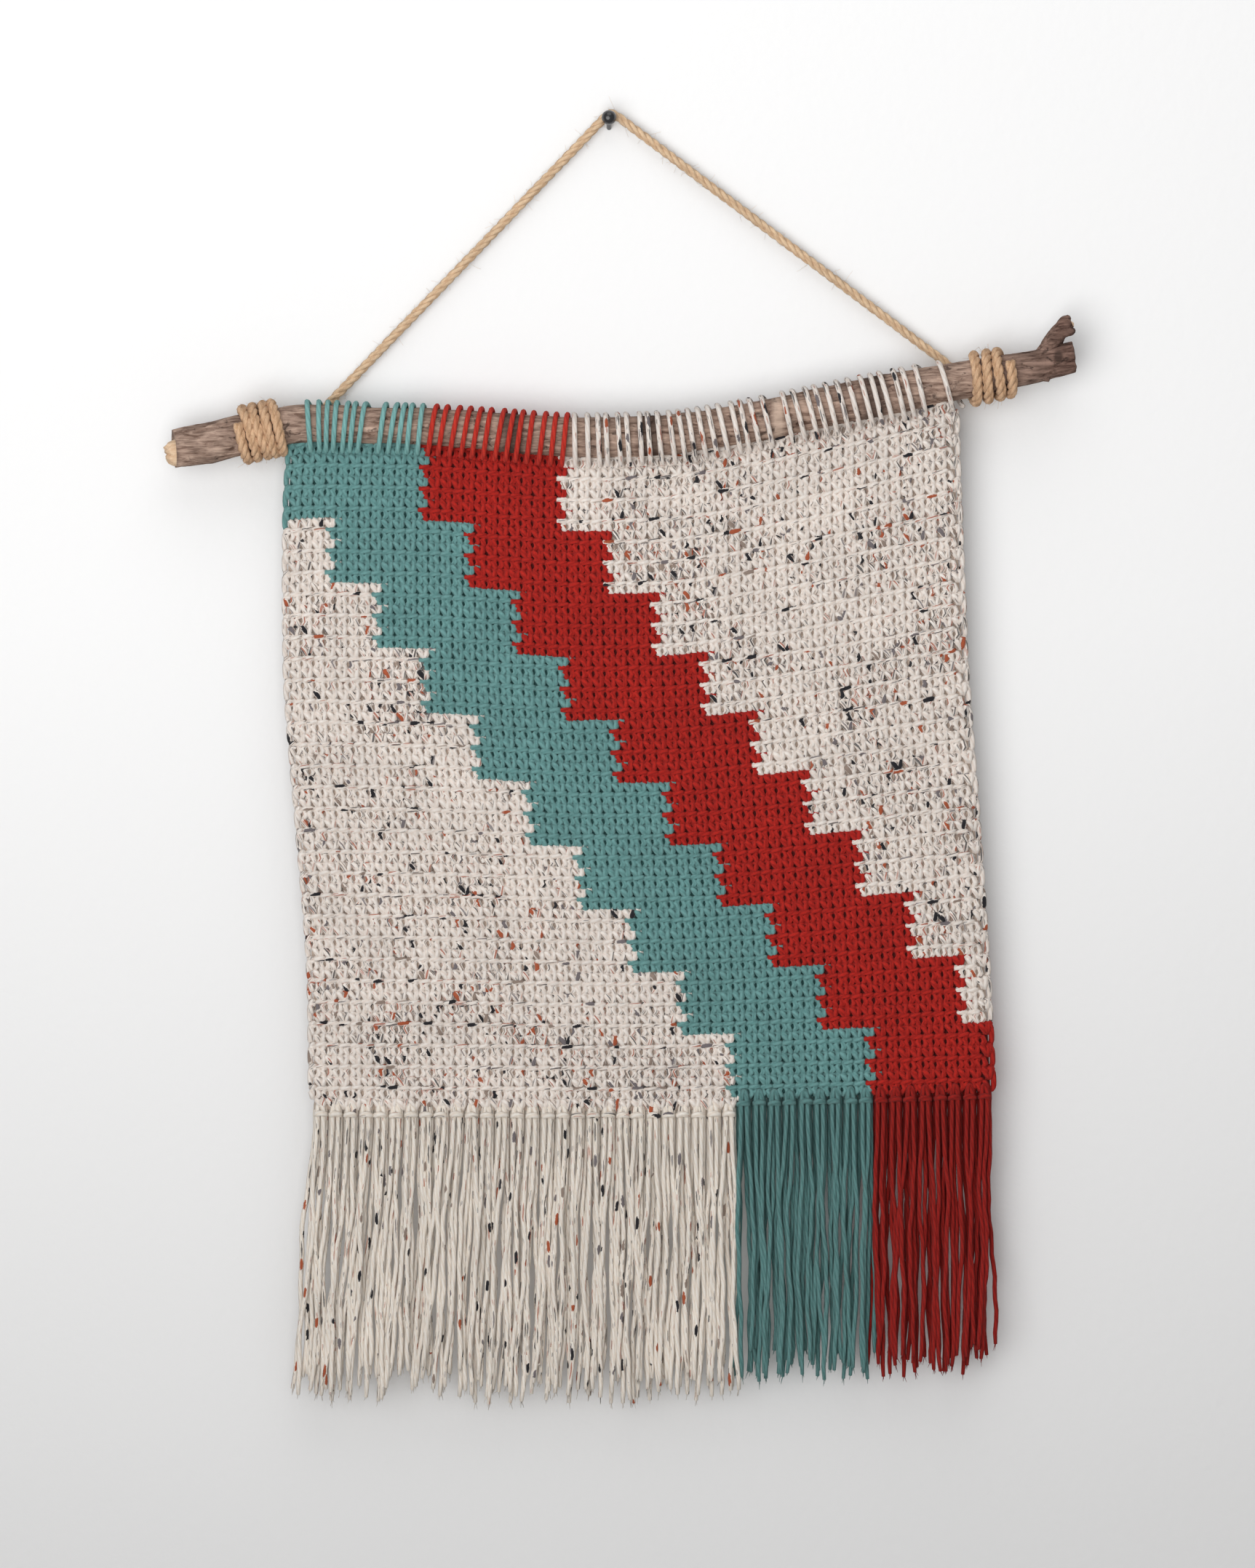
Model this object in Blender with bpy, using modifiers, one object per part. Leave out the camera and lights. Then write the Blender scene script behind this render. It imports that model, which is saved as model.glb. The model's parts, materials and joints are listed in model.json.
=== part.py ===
"""Crochet wall tapestry: a panel with a knotted fringe, lashed to a branch that hangs by a cord.

The origin is the foot of the pin, on the wall. X runs to the right along the wall, -Y points into the
room and Z is up. All sizes are in metres.
"""

import math
import random

import bmesh
import bpy
from mathutils import Matrix, Vector, noise

# Air left between pieces that touch
SEAT_GAP = 0.0003

# Points of one mesh that are closer than this are the same point
MERGE_DISTANCE = 1e-6

# Wall pin, whose head tilts upwards
PIN_TILT = math.radians(22)
PIN_HEAD_RADIUS = 0.0043
PIN_HEAD_REACH = 0.0128
PIN_NECK_RADIUS = 0.0015
PIN_COLLAR_RADIUS = 0.0026
PIN_HEAD_ARC = math.radians(140)
PIN_HEAD_STEPS = 7
PIN_TURN_STEPS = 16
PIN_SHARP_ANGLE = math.radians(40)

# Branch, with one row for each measured place along it
BRANCH_DEPTH = -0.0225
BRANCH_SIDES_RESOLUTION = 5
BRANCH_STATIONS = 34
BRANCH_SLOPE_REACH = 0.001
BARK_DENT = 0.0006
BARK_GRAIN = 42.0
BROKEN_CORE_REACH = 0.0042
BROKEN_CORE_INSET = 0.0028
SPLINTER_GRAIN = 400.0
BRANCH_RUN = [
    # x, z, diameter
    (-0.2510, -0.1873, 0.0218),
    (-0.2310, -0.1840, 0.0231),
    (-0.2134, -0.1798, 0.0235),
    (-0.1793, -0.1735, 0.0227),
    (-0.1415, -0.1739, 0.0218),
    (-0.1021, -0.1751, 0.0218),
    (-0.0617, -0.1781, 0.0227),
    (-0.0239, -0.1810, 0.0235),
    (0.0139, -0.1806, 0.0235),
    (0.0424, -0.1789, 0.0235),
    (0.0869, -0.1714, 0.0235),
    (0.1407, -0.1604, 0.0235),
    (0.1789, -0.1525, 0.0227),
    (0.2079, -0.1474, 0.0210),
    (0.2356, -0.1420, 0.0193),
    (0.2680, -0.1344, 0.0176),
]

# Short twig that grows from the branch's right end and has a split tip
TWIG_SIDES_RESOLUTION = 3
TWIG_SPLIT = 0.0024
TWIG_TIP_SPAN = 0.6
TWIG_TIP_BAND = 0.1
TWIG_RUN = [
    # x, y, z, diameter
    (0.2505, -0.0220, -0.1400, 0.0135),
    (0.2540, -0.0225, -0.1310, 0.0125),
    (0.2568, -0.0232, -0.1245, 0.0110),
    (0.2612, -0.0240, -0.1185, 0.0104),
    (0.2665, -0.0246, -0.1148, 0.0100),
]

# Three-strand jute cord
CORD_DIAMETER = 0.0055
CORD_VALLEY = 0.68
CORD_STRANDS = 3
CORD_LAY = 0.018
CORD_STEP = 0.0024
CORD_ROUTE = [
    # x, y, z, from the left wrap, over the pin, to the right wrap
    (-0.1871, -0.0144, -0.1875),
    (-0.1860, -0.0094, -0.1859),
    (-0.1820, -0.0057, -0.1812),
    (-0.1740, -0.0045, -0.1724),
    (-0.1600, -0.0044, -0.1579),
    (-0.1200, -0.0044, -0.1165),
    (-0.0800, -0.0044, -0.0751),
    (-0.0400, -0.0044, -0.0336),
    (-0.0140, -0.0044, -0.0067),
    (-0.0036, -0.0042, 0.0042),
    (0.0006, -0.0040, 0.0076),
    (0.0052, -0.0042, 0.0057),
    (0.0160, -0.0044, -0.0024),
    (0.0600, -0.0044, -0.0355),
    (0.1000, -0.0044, -0.0655),
    (0.1400, -0.0044, -0.0955),
    (0.1800, -0.0044, -0.1256),
    (0.1940, -0.0045, -0.1361),
    (0.2006, -0.0049, -0.1425),
    (0.2064, -0.0063, -0.1506),
    (0.2103, -0.0096, -0.1570),
    (0.2115, -0.0149, -0.1589),
]

# Turns of the cord that grip the branch. The inner end is where the hanging cord carries on.
WRAP_DIAMETER = 0.0050
WRAP_STEPS = 10
WRAP_SIDES_RESOLUTION = 1
WRAP_END_ANGLE = math.radians(-60)
WRAPS = [
    # name, x of the outer turn, x of the inner turn, turns
    ("jute_wrap_left", -0.2126, -0.1893, 4.4),
    ("jute_wrap_right", 0.2318, 0.2094, 3.4),
]

# Whipstitches that hold the panel's top edge to the branch
LASH_DIAMETER = 0.0030
LASH_STEPS = 8
LASH_JITTER = 0.0004
LASH_SEED = 11
LASHINGS = {
    # colour: runs of first x, last x, turns, lean of the first turn's top, lean of the last turn's top
    "teal": [
        (-0.1730, -0.1420, 7, -0.0017, 0.0040),
        (-0.1312, -0.1089, 5, 0.0050, 0.0030),
    ],
    "red": [(-0.1014, -0.0263, 13, 0.0045, 0.0018)],
    "cream": [
        (-0.0189, 0.0903, 19, -0.0010, -0.0016),
        (0.1033, 0.1789, 13, -0.0016, -0.0022),
        (0.1945, 0.1945, 1, -0.0050, -0.0050),
    ],
}

# Crochet panel
PANEL_THICKNESS = 0.0035
PANEL_ROWS = 61
TOP_EDGE_GAP = 0.0009
ROW_RIB = 0.0005
EDGE_SCALLOP = 0.0008
COLOUR_STEP_X = 0.0735
CREAM_EXTRA_ROW = 0.0075
PLAIN_EXTRA_ROW = 0.0006
STEP_HALF_WIDTH = 0.0010
CREAM_COLUMNS = 6
PLAIN_COLUMNS = 4
PANEL_SIDES = [
    # share of the way down, x of the left edge, x of the right edge
    (0.00, -0.1836, 0.1995),
    (0.10, -0.1856, 0.2005),
    (0.32, -0.1856, 0.2040),
    (0.40, -0.1844, 0.2055),
    (0.60, -0.1779, 0.2115),
    (0.80, -0.1720, 0.2170),
    (1.00, -0.1709, 0.2209),
]
PANEL_BASE = [
    # x, z of the last full row
    (-0.1709, -0.5629),
    (0.0000, -0.5636),
    (0.0735, -0.5626),
    (0.2209, -0.5582),
]
PANEL_WAVES = [
    # depth, waves across, waves down, phase
    (0.0016, 1.3, 0.4, 0.6),
    (0.0008, 2.6, -0.9, 2.1),
]

# Fringe
KNOT_HEIGHT = 0.0065
KNOT_DEPTH = 0.0070
KNOT_WAIST_DEPTH = 0.0056
KNOT_TOP_DEPTH = 0.0036
FRINGE_END_GAP = 0.0013
ROOT_INSET = 0.0005
STRAND_RADIUS = 0.0017
LAYER_OFFSET = 0.0019
STRAND_SHARES = (0.3, 0.65, 1.0)
STRAND_SWAY = 0.0014
STRAND_SWAY_PHASE = 55.0
STRAND_SWAY_TURNS = 0.8
STRAND_JITTER = 0.0003
STRAND_SEED = 7
FRINGES = {
    # colour: first x, last x, knots, shortest strand, longest strand, spread of first tip, of last tip
    "cream": (-0.1709, 0.0735, 28, 0.1470, 0.1660, -0.0105, 0.0000),
    "teal": (0.0735, 0.1525, 9, 0.1430, 0.1610, 0.0000, -0.0010),
    "red": (0.1525, 0.2209, 8, 0.1440, 0.1610, -0.0010, 0.0012),
}

# Colour, roughness and metallic of each finish
FINISHES = {
    "cream_yarn": ((0.766, 0.673, 0.571), 0.92, 0.0),
    "teal_yarn": ((0.115, 0.323, 0.296), 0.92, 0.0),
    "red_yarn": ((0.392, 0.018, 0.014), 0.92, 0.0),
    "jute": ((0.584, 0.367, 0.156), 0.90, 0.0),
    "bark": ((0.196, 0.124, 0.088), 0.88, 0.0),
    "pin_plastic": ((0.010, 0.010, 0.012), 0.22, 0.0),
}


def clear_scene():
    for obj in list(bpy.data.objects):
        bpy.data.objects.remove(obj, do_unlink=True)


def new_collection(name):
    collection = bpy.data.collections.new(name)
    bpy.context.scene.collection.children.link(collection)
    return collection


def finish(slot):
    """The material of one finish, made once."""
    material = bpy.data.materials.get(slot)
    if material is None:
        material = bpy.data.materials.new(slot)
        material.use_nodes = True
        colour, roughness, metallic = FINISHES[slot]
        shader = material.node_tree.nodes["Principled BSDF"]
        shader.inputs["Base Color"].default_value = (*colour, 1.0)
        shader.inputs["Roughness"].default_value = roughness
        shader.inputs["Metallic"].default_value = metallic
        material.diffuse_color = (*colour, 1.0)
    return material


def add_object(name, data, slot, collection):
    obj = bpy.data.objects.new(name, data)
    data.materials.append(finish(slot))
    collection.objects.link(obj)
    return obj


def smooth_row(rows, at):
    """The columns after the first, read at one place from a smooth curve through the rows."""
    last = len(rows) - 1
    high = next((i for i, row in enumerate(rows) if row[0] > at), last)
    high = max(high, 1)
    before, start = rows[max(high - 2, 0)], rows[high - 1]
    end, after = rows[high], rows[min(high + 1, last)]
    span = end[0] - start[0]
    t = min(max((at - start[0]) / span, 0.0), 1.0)
    values = []
    for column in range(1, len(start)):
        slope_in = (end[column] - before[column]) / (end[0] - before[0]) * span
        slope_out = (after[column] - start[column]) / (after[0] - start[0]) * span
        rise = end[column] - start[column]
        bend = (3 * rise - 2 * slope_in - slope_out) * t**2
        bend += (slope_in + slope_out - 2 * rise) * t**3
        values.append(start[column] + slope_in * t + bend)
    return values


def smooth_route(points, step):
    """Points about a step apart on a smooth curve through a route's own points."""
    route = [Vector(point) for point in points]
    lengths = [0.0]
    for start, end in zip(route, route[1:]):
        lengths.append(lengths[-1] + (end - start).length)
    rows = [(length, *point) for length, point in zip(lengths, route)]
    count = round(lengths[-1] / step)
    return [Vector(smooth_row(rows, lengths[-1] * i / count)) for i in range(count + 1)]


def tube_curve(name, points, depth, resolution, scales=None):
    """A curve datablock with one poly spline and a round bevel with filled caps."""
    curve = bpy.data.curves.new(name, "CURVE")
    curve.dimensions = "3D"
    curve.bevel_depth = depth
    curve.bevel_resolution = resolution
    curve.use_fill_caps = True
    spline = curve.splines.new("POLY")
    spline.points.add(len(points) - 1)
    for i, point in enumerate(points):
        spline.points[i].co = (*point, 1.0)
        if scales:
            spline.points[i].radius = scales[i]
    return curve


def mesh_from_curve(name, curve, collection):
    """The curve's tube as a closed mesh, with its caps joined on."""
    guide = bpy.data.objects.new(name + "_guide", curve)
    collection.objects.link(guide)
    graph = bpy.context.evaluated_depsgraph_get()
    mesh = bpy.data.meshes.new_from_object(guide.evaluated_get(graph))
    bpy.data.objects.remove(guide, do_unlink=True)
    bm = bmesh.new()
    bm.from_mesh(mesh)
    bmesh.ops.remove_doubles(bm, verts=bm.verts, dist=MERGE_DISTANCE)
    bm.to_mesh(mesh)
    bm.free()
    mesh.materials.clear()
    return mesh


def branch_at(x):
    """Centre, upward normal and radius of the branch at one x."""
    z, diameter = smooth_row(BRANCH_RUN, x)
    rise = smooth_row(BRANCH_RUN, x + BRANCH_SLOPE_REACH)[0]
    rise -= smooth_row(BRANCH_RUN, x - BRANCH_SLOPE_REACH)[0]
    normal = Vector((-rise, 0.0, 2 * BRANCH_SLOPE_REACH)).normalized()
    return Vector((x, BRANCH_DEPTH, z)), normal, diameter / 2


def around_branch(x, angle, radius):
    """A point round the branch. The angle is 0 at the back and grows over the top to the front."""
    centre, normal, _ = branch_at(x)
    return centre + radius * (math.cos(angle) * Vector((0, 1, 0)) + math.sin(angle) * normal)


def dent_bark(mesh):
    """Shallow dents pressed into the round tube, never outwards."""
    for vertex in mesh.vertices:
        centre, _, _ = branch_at(vertex.co.x)
        depth = 0.5 + 0.5 * noise.noise(vertex.co * BARK_GRAIN)
        vertex.co -= (vertex.co - centre).normalized() * BARK_DENT * depth


def break_end(mesh):
    """The snapped left end, where the bare core stands out of the bark in uneven splinters."""
    bm = bmesh.new()
    bm.from_mesh(mesh)
    cap = min(bm.faces, key=lambda face: face.calc_center_median().x)
    bmesh.ops.inset_region(bm, faces=[cap], thickness=BROKEN_CORE_INSET)
    centre = cap.calc_center_median()
    for vertex in cap.verts:
        splinter = 0.5 + 0.5 * noise.noise((vertex.co - centre) * SPLINTER_GRAIN)
        vertex.co.x -= BROKEN_CORE_REACH * splinter
    bmesh.ops.poke(bm, faces=[cap])
    bm.to_mesh(mesh)
    bm.free()


def split_tip(mesh):
    """The twig's torn tip: two prongs with a notch between them."""
    tip = Vector(TWIG_RUN[-1][:3])
    axis = (tip - Vector(TWIG_RUN[-2][:3])).normalized()
    across = axis.cross(Vector((0, 1, 0))).normalized()
    reach = TWIG_RUN[-1][3]
    for vertex in mesh.vertices:
        offset = vertex.co - tip
        near = offset.length < reach * TWIG_TIP_SPAN
        if near and abs(offset.dot(axis)) < reach * TWIG_TIP_BAND:
            share = abs(offset.dot(across)) / (reach / 2)
            vertex.co += axis * TWIG_SPLIT * (2 * share - 1)


def make_twig(cutters):
    points = [Vector(row[:3]) for row in TWIG_RUN]
    scales = [row[3] for row in TWIG_RUN]
    curve = tube_curve("twig", points, 0.5, TWIG_SIDES_RESOLUTION, scales)
    mesh = mesh_from_curve("twig", curve, cutters)
    split_tip(mesh)
    twig = add_object("twig", mesh, "bark", cutters)
    twig.hide_render = True
    twig.display_type = "WIRE"
    return twig


def make_branch(parts, cutters):
    first, last = BRANCH_RUN[0][0], BRANCH_RUN[-1][0]
    stations = [first + (last - first) * i / BRANCH_STATIONS for i in range(BRANCH_STATIONS + 1)]
    centres, scales = [], []
    for x in stations:
        centre, _, radius = branch_at(x)
        centres.append(centre)
        scales.append(radius)
    curve = tube_curve("branch", centres, 1.0, BRANCH_SIDES_RESOLUTION, scales)
    mesh = mesh_from_curve("branch", curve, parts)
    dent_bark(mesh)
    break_end(mesh)
    branch = add_object("branch", mesh, "bark", parts)
    join = branch.modifiers.new("twig", "BOOLEAN")
    join.operation = "UNION"
    join.solver = "EXACT"
    join.object = make_twig(cutters)


def make_wrap(name, outer_x, inner_x, turns, parts):
    """A coil of the jute cord that ends low at the back, where the hanging cord starts."""
    count = round(turns * WRAP_STEPS)
    points = []
    for i in range(count + 1):
        share = i / count
        x = outer_x + (inner_x - outer_x) * share
        angle = WRAP_END_ANGLE - 2 * math.pi * turns * (1 - share)
        seat = branch_at(x)[2] + SEAT_GAP + WRAP_DIAMETER / 2
        points.append(around_branch(x, angle, seat / math.cos(math.pi / WRAP_STEPS)))
    curve = tube_curve(name, points, WRAP_DIAMETER / 2, WRAP_SIDES_RESOLUTION)
    add_object(name, curve, "jute", parts)


def cord_profile(cutters):
    """The cord's cross section: one ridge for each strand and a valley between them."""
    curve = bpy.data.curves.new("cord_profile", "CURVE")
    curve.dimensions = "2D"
    curve.fill_mode = "NONE"
    spline = curve.splines.new("POLY")
    corners = 2 * CORD_STRANDS
    spline.points.add(corners - 1)
    spline.use_cyclic_u = True
    for i in range(corners):
        radius = CORD_DIAMETER / 2 * (CORD_VALLEY if i % 2 else 1.0)
        angle = -2 * math.pi * i / corners
        spline.points[i].co = (radius * math.cos(angle), radius * math.sin(angle), 0.0, 1.0)
    profile = bpy.data.objects.new("cord_profile", curve)
    profile.hide_render = True
    profile.display_type = "WIRE"
    cutters.objects.link(profile)
    return profile


def make_cord(parts, cutters):
    """The hanging cord, with its strands twisted round each other along the way."""
    points = smooth_route(CORD_ROUTE, CORD_STEP)
    curve = tube_curve("hanging_cord", points, 0.0, 0)
    curve.bevel_mode = "OBJECT"
    curve.bevel_object = cord_profile(cutters)
    along = 0.0
    for i, point in enumerate(points):
        if i:
            along += (point - points[i - 1]).length
        curve.splines[0].points[i].tilt = 2 * math.pi * along / CORD_LAY
    add_object("hanging_cord", curve, "jute", parts)


def pin_profile():
    """Radius and reach from the wall along the pin, from the head's crown down to the buried end."""
    profile = []
    for i in range(PIN_HEAD_STEPS):
        angle = PIN_HEAD_ARC * i / (PIN_HEAD_STEPS - 1)
        radius = PIN_HEAD_RADIUS * math.sin(angle)
        profile.append((radius, PIN_HEAD_REACH + PIN_HEAD_RADIUS * math.cos(angle)))
    neck_top = PIN_HEAD_REACH - PIN_HEAD_RADIUS
    profile.append((PIN_COLLAR_RADIUS, neck_top))
    profile.append((PIN_NECK_RADIUS, neck_top - PIN_NECK_RADIUS))
    profile.append((PIN_NECK_RADIUS, -2 * PIN_NECK_RADIUS))
    profile.append((0.0, -2 * PIN_NECK_RADIUS))
    return profile


def make_pin(parts):
    """The pin is turned, tilted and then cut off flat where it meets the wall."""
    bm = bmesh.new()
    verts = [bm.verts.new((radius, 0.0, reach)) for radius, reach in pin_profile()]
    edges = [bm.edges.new(pair) for pair in zip(verts, verts[1:])]
    bmesh.ops.spin(
        bm,
        geom=verts + edges,
        cent=(0, 0, 0),
        axis=(0, 0, 1),
        angle=2 * math.pi,
        steps=PIN_TURN_STEPS,
        use_merge=True,
    )
    bmesh.ops.remove_doubles(bm, verts=bm.verts, dist=MERGE_DISTANCE)
    lean = Matrix.Rotation(math.pi / 2 - PIN_TILT, 4, "X")
    bmesh.ops.transform(bm, matrix=lean, verts=bm.verts)
    geom = bm.verts[:] + bm.edges[:] + bm.faces[:]
    bmesh.ops.bisect_plane(bm, geom=geom, plane_co=(0, 0, 0), plane_no=(0, 1, 0), clear_outer=True)
    rim = [edge for edge in bm.edges if edge.is_boundary]
    bmesh.ops.contextual_create(bm, geom=rim)
    bmesh.ops.recalc_face_normals(bm, faces=bm.faces)
    mesh = bpy.data.meshes.new("wall_pin")
    bm.to_mesh(mesh)
    bm.free()
    mesh.shade_smooth()
    mesh.set_sharp_from_angle(angle=PIN_SHARP_ANGLE)
    add_object("wall_pin", mesh, "pin_plastic", parts)


def lash_turns(runs, rng):
    """The x and the lean of each turn, one after the other."""
    turns = []
    for first, last, count, lean_first, lean_last in runs:
        for i in range(count):
            share = i / max(count - 1, 1)
            x = first + (last - first) * share + rng.uniform(-LASH_JITTER, LASH_JITTER)
            turns.append((x, lean_first + (lean_last - lean_first) * share))
    return turns


def lash_points(turns):
    """A whipstitch path: up the front of the branch, over it and down the back, to the next turn."""
    points = []
    pitch = (turns[-1][0] - turns[0][0]) / (len(turns) - 1)
    half = LASH_STEPS // 2
    for i, (x, lean) in enumerate(turns):
        following, following_lean = turns[i + 1] if i + 1 < len(turns) else (x + pitch, lean)
        bottom, top = x - lean / 2, x + lean / 2
        onward = following - following_lean / 2
        for step in range(LASH_STEPS):
            if step < half:
                at = bottom + (top - bottom) * step / (half - 1)
            else:
                at = top + (onward - top) * (step - half + 1) / (half + 1)
            angle = 1.5 * math.pi - 2 * math.pi * (step + 0.5) / LASH_STEPS
            seat = branch_at(at)[2] + SEAT_GAP + LASH_DIAMETER / 2
            points.append(around_branch(at, angle, seat / math.cos(math.pi / LASH_STEPS)))
    return points


def make_lashings(parts):
    rng = random.Random(LASH_SEED)
    for colour, runs in LASHINGS.items():
        name = "lashing_" + colour
        curve = tube_curve(name, lash_points(lash_turns(runs, rng)), LASH_DIAMETER / 2, 0)
        add_object(name, curve, colour + "_yarn", parts)


def panel_top(x):
    """The top edge, just under the whipstitches."""
    centre, _, radius = branch_at(x)
    return centre.z - radius - LASH_DIAMETER - SEAT_GAP - TOP_EDGE_GAP


def panel_depth(across, down):
    """How the hung cloth swells and dips, from nothing at the branch to the most at the hem."""
    depth = BRANCH_DEPTH
    for height, waves_across, waves_down, phase in PANEL_WAVES:
        turn = waves_across * across + waves_down * down
        depth += height * down * math.sin(2 * math.pi * turn + phase)
    return depth


def hem_share(x):
    """How far across the hem an x is, from 0 at the left edge to 1 at the right one."""
    _, left, right = PANEL_SIDES[-1]
    return (x - left) / (right - left)


def hem_height(x):
    """The hem's z. The cream part is one row longer than the plain ones."""
    extra = CREAM_EXTRA_ROW if x < COLOUR_STEP_X else PLAIN_EXTRA_ROW
    return smooth_row(PANEL_BASE, x)[0] - extra


def panel_columns():
    """Shares across the panel, with a close pair at the step in the hem."""
    before = hem_share(COLOUR_STEP_X - STEP_HALF_WIDTH)
    after = hem_share(COLOUR_STEP_X + STEP_HALF_WIDTH)
    columns = [before * i / CREAM_COLUMNS for i in range(CREAM_COLUMNS + 1)]
    columns += [after + (1 - after) * i / PLAIN_COLUMNS for i in range(PLAIN_COLUMNS + 1)]
    return columns


def panel_point(across, row):
    """A point of the panel's middle surface. Rows bend with the branch above and straighten below."""
    down = min(row / PANEL_ROWS, 1.0)
    left, right = smooth_row(PANEL_SIDES, down)
    x = left + (right - left) * across
    if across in (0.0, 1.0):
        x += EDGE_SCALLOP * (1 if row % 2 else -1) * (2 * across - 1)
    _, top_left, top_right = PANEL_SIDES[0]
    _, low_left, low_right = PANEL_SIDES[-1]
    top = panel_top(top_left + (top_right - top_left) * across)
    low_x = low_left + (low_right - low_left) * across
    base = smooth_row(PANEL_BASE, low_x)[0]
    z = top + (base - top) * down if row <= PANEL_ROWS else hem_height(low_x)
    rib = ROW_RIB * (1 if min(row, PANEL_ROWS) % 2 else -1)
    return Vector((x, panel_depth(across, down) + rib, z))


def numbered_grid(bm, columns, rows):
    """A new grid's vertices, each with its column from the left and its row from the top."""
    half = 0.5
    bmesh.ops.create_grid(bm, x_segments=columns, y_segments=rows, size=half)
    numbered = []
    for vertex in bm.verts:
        column = round((vertex.co.x + half) * columns)
        row = round((half - vertex.co.y) * rows)
        numbered.append((vertex, column, row))
    return numbered


def make_panel(parts):
    columns = panel_columns()
    bm = bmesh.new()
    for vertex, column, row in numbered_grid(bm, len(columns) - 1, PANEL_ROWS + 1):
        vertex.co = panel_point(columns[column], row)
    mesh = bpy.data.meshes.new("crochet_panel")
    bm.to_mesh(mesh)
    bm.free()
    panel = add_object("crochet_panel", mesh, "cream_yarn", parts)
    wall = panel.modifiers.new("thickness", "SOLIDIFY")
    wall.thickness = PANEL_THICKNESS
    wall.offset = 0.0


def knot_strip(bm, first, last, knots):
    """The row of knots as one closed strip. It returns the faces underneath, two for each knot."""
    for vertex, place, row in numbered_grid(bm, 2 * knots, 1):
        x = first + (last - first) * place / (2 * knots)
        depth = KNOT_DEPTH if place % 2 else KNOT_WAIST_DEPTH
        side = -1 if row else 1
        low = hem_height(x) - SEAT_GAP - KNOT_HEIGHT
        vertex.co = (x, panel_depth(hem_share(x), 1.0) + side * depth / 2, low)
    under = bm.faces[:]
    grown = bmesh.ops.extrude_face_region(bm, geom=under)["geom"]
    for vertex in (item for item in grown if isinstance(item, bmesh.types.BMVert)):
        middle = panel_depth(hem_share(vertex.co.x), 1.0)
        side = 1 if vertex.co.y > middle else -1
        vertex.co.y = middle + side * KNOT_TOP_DEPTH / 2
        vertex.co.z += KNOT_HEIGHT
    return under


def strand_centre(root, share, length, spread, layer):
    """Where a strand's middle is, a share of the way down it."""
    sway = math.sin(STRAND_SWAY_PHASE * root.x + 2 * math.pi * STRAND_SWAY_TURNS * share)
    x = root.x + share * (spread + STRAND_SWAY * sway)
    y = panel_depth(hem_share(root.x), 1.0) + layer * LAYER_OFFSET
    return Vector((x, y, root.z - length * share))


def point_ring(face, centre, layer):
    """Moves a strand's last three points onto an even triangle that points away from the other layer."""
    middle = face.calc_center_median()
    ring = sorted(face.verts, key=lambda v: math.atan2(v.co.y - middle.y, v.co.x - middle.x))
    start = math.atan2(ring[0].co.y - middle.y, ring[0].co.x - middle.x)
    turn = 2 * math.pi / 3
    apex = layer * math.pi / 2
    nearest = round((start - apex) / turn)
    for i, vertex in enumerate(ring):
        angle = apex + turn * (nearest + i)
        vertex.co = centre + STRAND_RADIUS * Vector((math.cos(angle), math.sin(angle), 0.0))


def hang_strands(bm, roots, row, rng):
    """Draws every root down into a three-sided strand of its own length."""
    first, last, _, shortest, longest, spread_first, spread_last = row
    for face in roots:
        root = face.calc_center_median()
        layer = -1 if root.y < panel_depth(hem_share(root.x), 1.0) else 1
        across = (root.x - first) / (last - first)
        spread = spread_first + (spread_last - spread_first) * across
        spread += rng.uniform(-STRAND_JITTER, STRAND_JITTER)
        length = rng.uniform(shortest, longest)
        for share in STRAND_SHARES:
            face = bmesh.ops.extrude_discrete_faces(bm, faces=[face])["faces"][0]
            point_ring(face, strand_centre(root, share, length, spread, layer), layer)


def make_fringe(colour, row, parts, rng):
    first, last, knots = row[:3]
    bm = bmesh.new()
    under = knot_strip(bm, first + FRINGE_END_GAP, last - FRINGE_END_GAP, knots)
    roots = bmesh.ops.triangulate(bm, faces=under, quad_method="FIXED")["faces"]
    bmesh.ops.recalc_face_normals(bm, faces=bm.faces)
    bmesh.ops.inset_individual(bm, faces=roots, thickness=ROOT_INSET)
    hang_strands(bm, roots, row, rng)
    name = "fringe_" + colour
    mesh = bpy.data.meshes.new(name)
    bm.to_mesh(mesh)
    bm.free()
    add_object(name, mesh, colour + "_yarn", parts)


def main():
    clear_scene()
    parts = new_collection("crochet_tapestry")
    cutters = new_collection("cutters")
    cutters.hide_render = True
    rng = random.Random(STRAND_SEED)
    make_pin(parts)
    make_cord(parts, cutters)
    for name, outer_x, inner_x, turns in WRAPS:
        make_wrap(name, outer_x, inner_x, turns, parts)
    make_branch(parts, cutters)
    make_lashings(parts)
    make_panel(parts)
    for colour, row in FRINGES.items():
        make_fringe(colour, row, parts, rng)


main()
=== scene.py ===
# %% [markdown]
# A crochet tapestry
# A square of crochet in three yarns hangs from a rough branch, with a long knotted fringe below. Coloured
# whipstitches lash its top edge to the branch, and a jute cord carries the branch from a pin in the wall.
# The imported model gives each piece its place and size. This script gives each one its surface.

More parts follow.
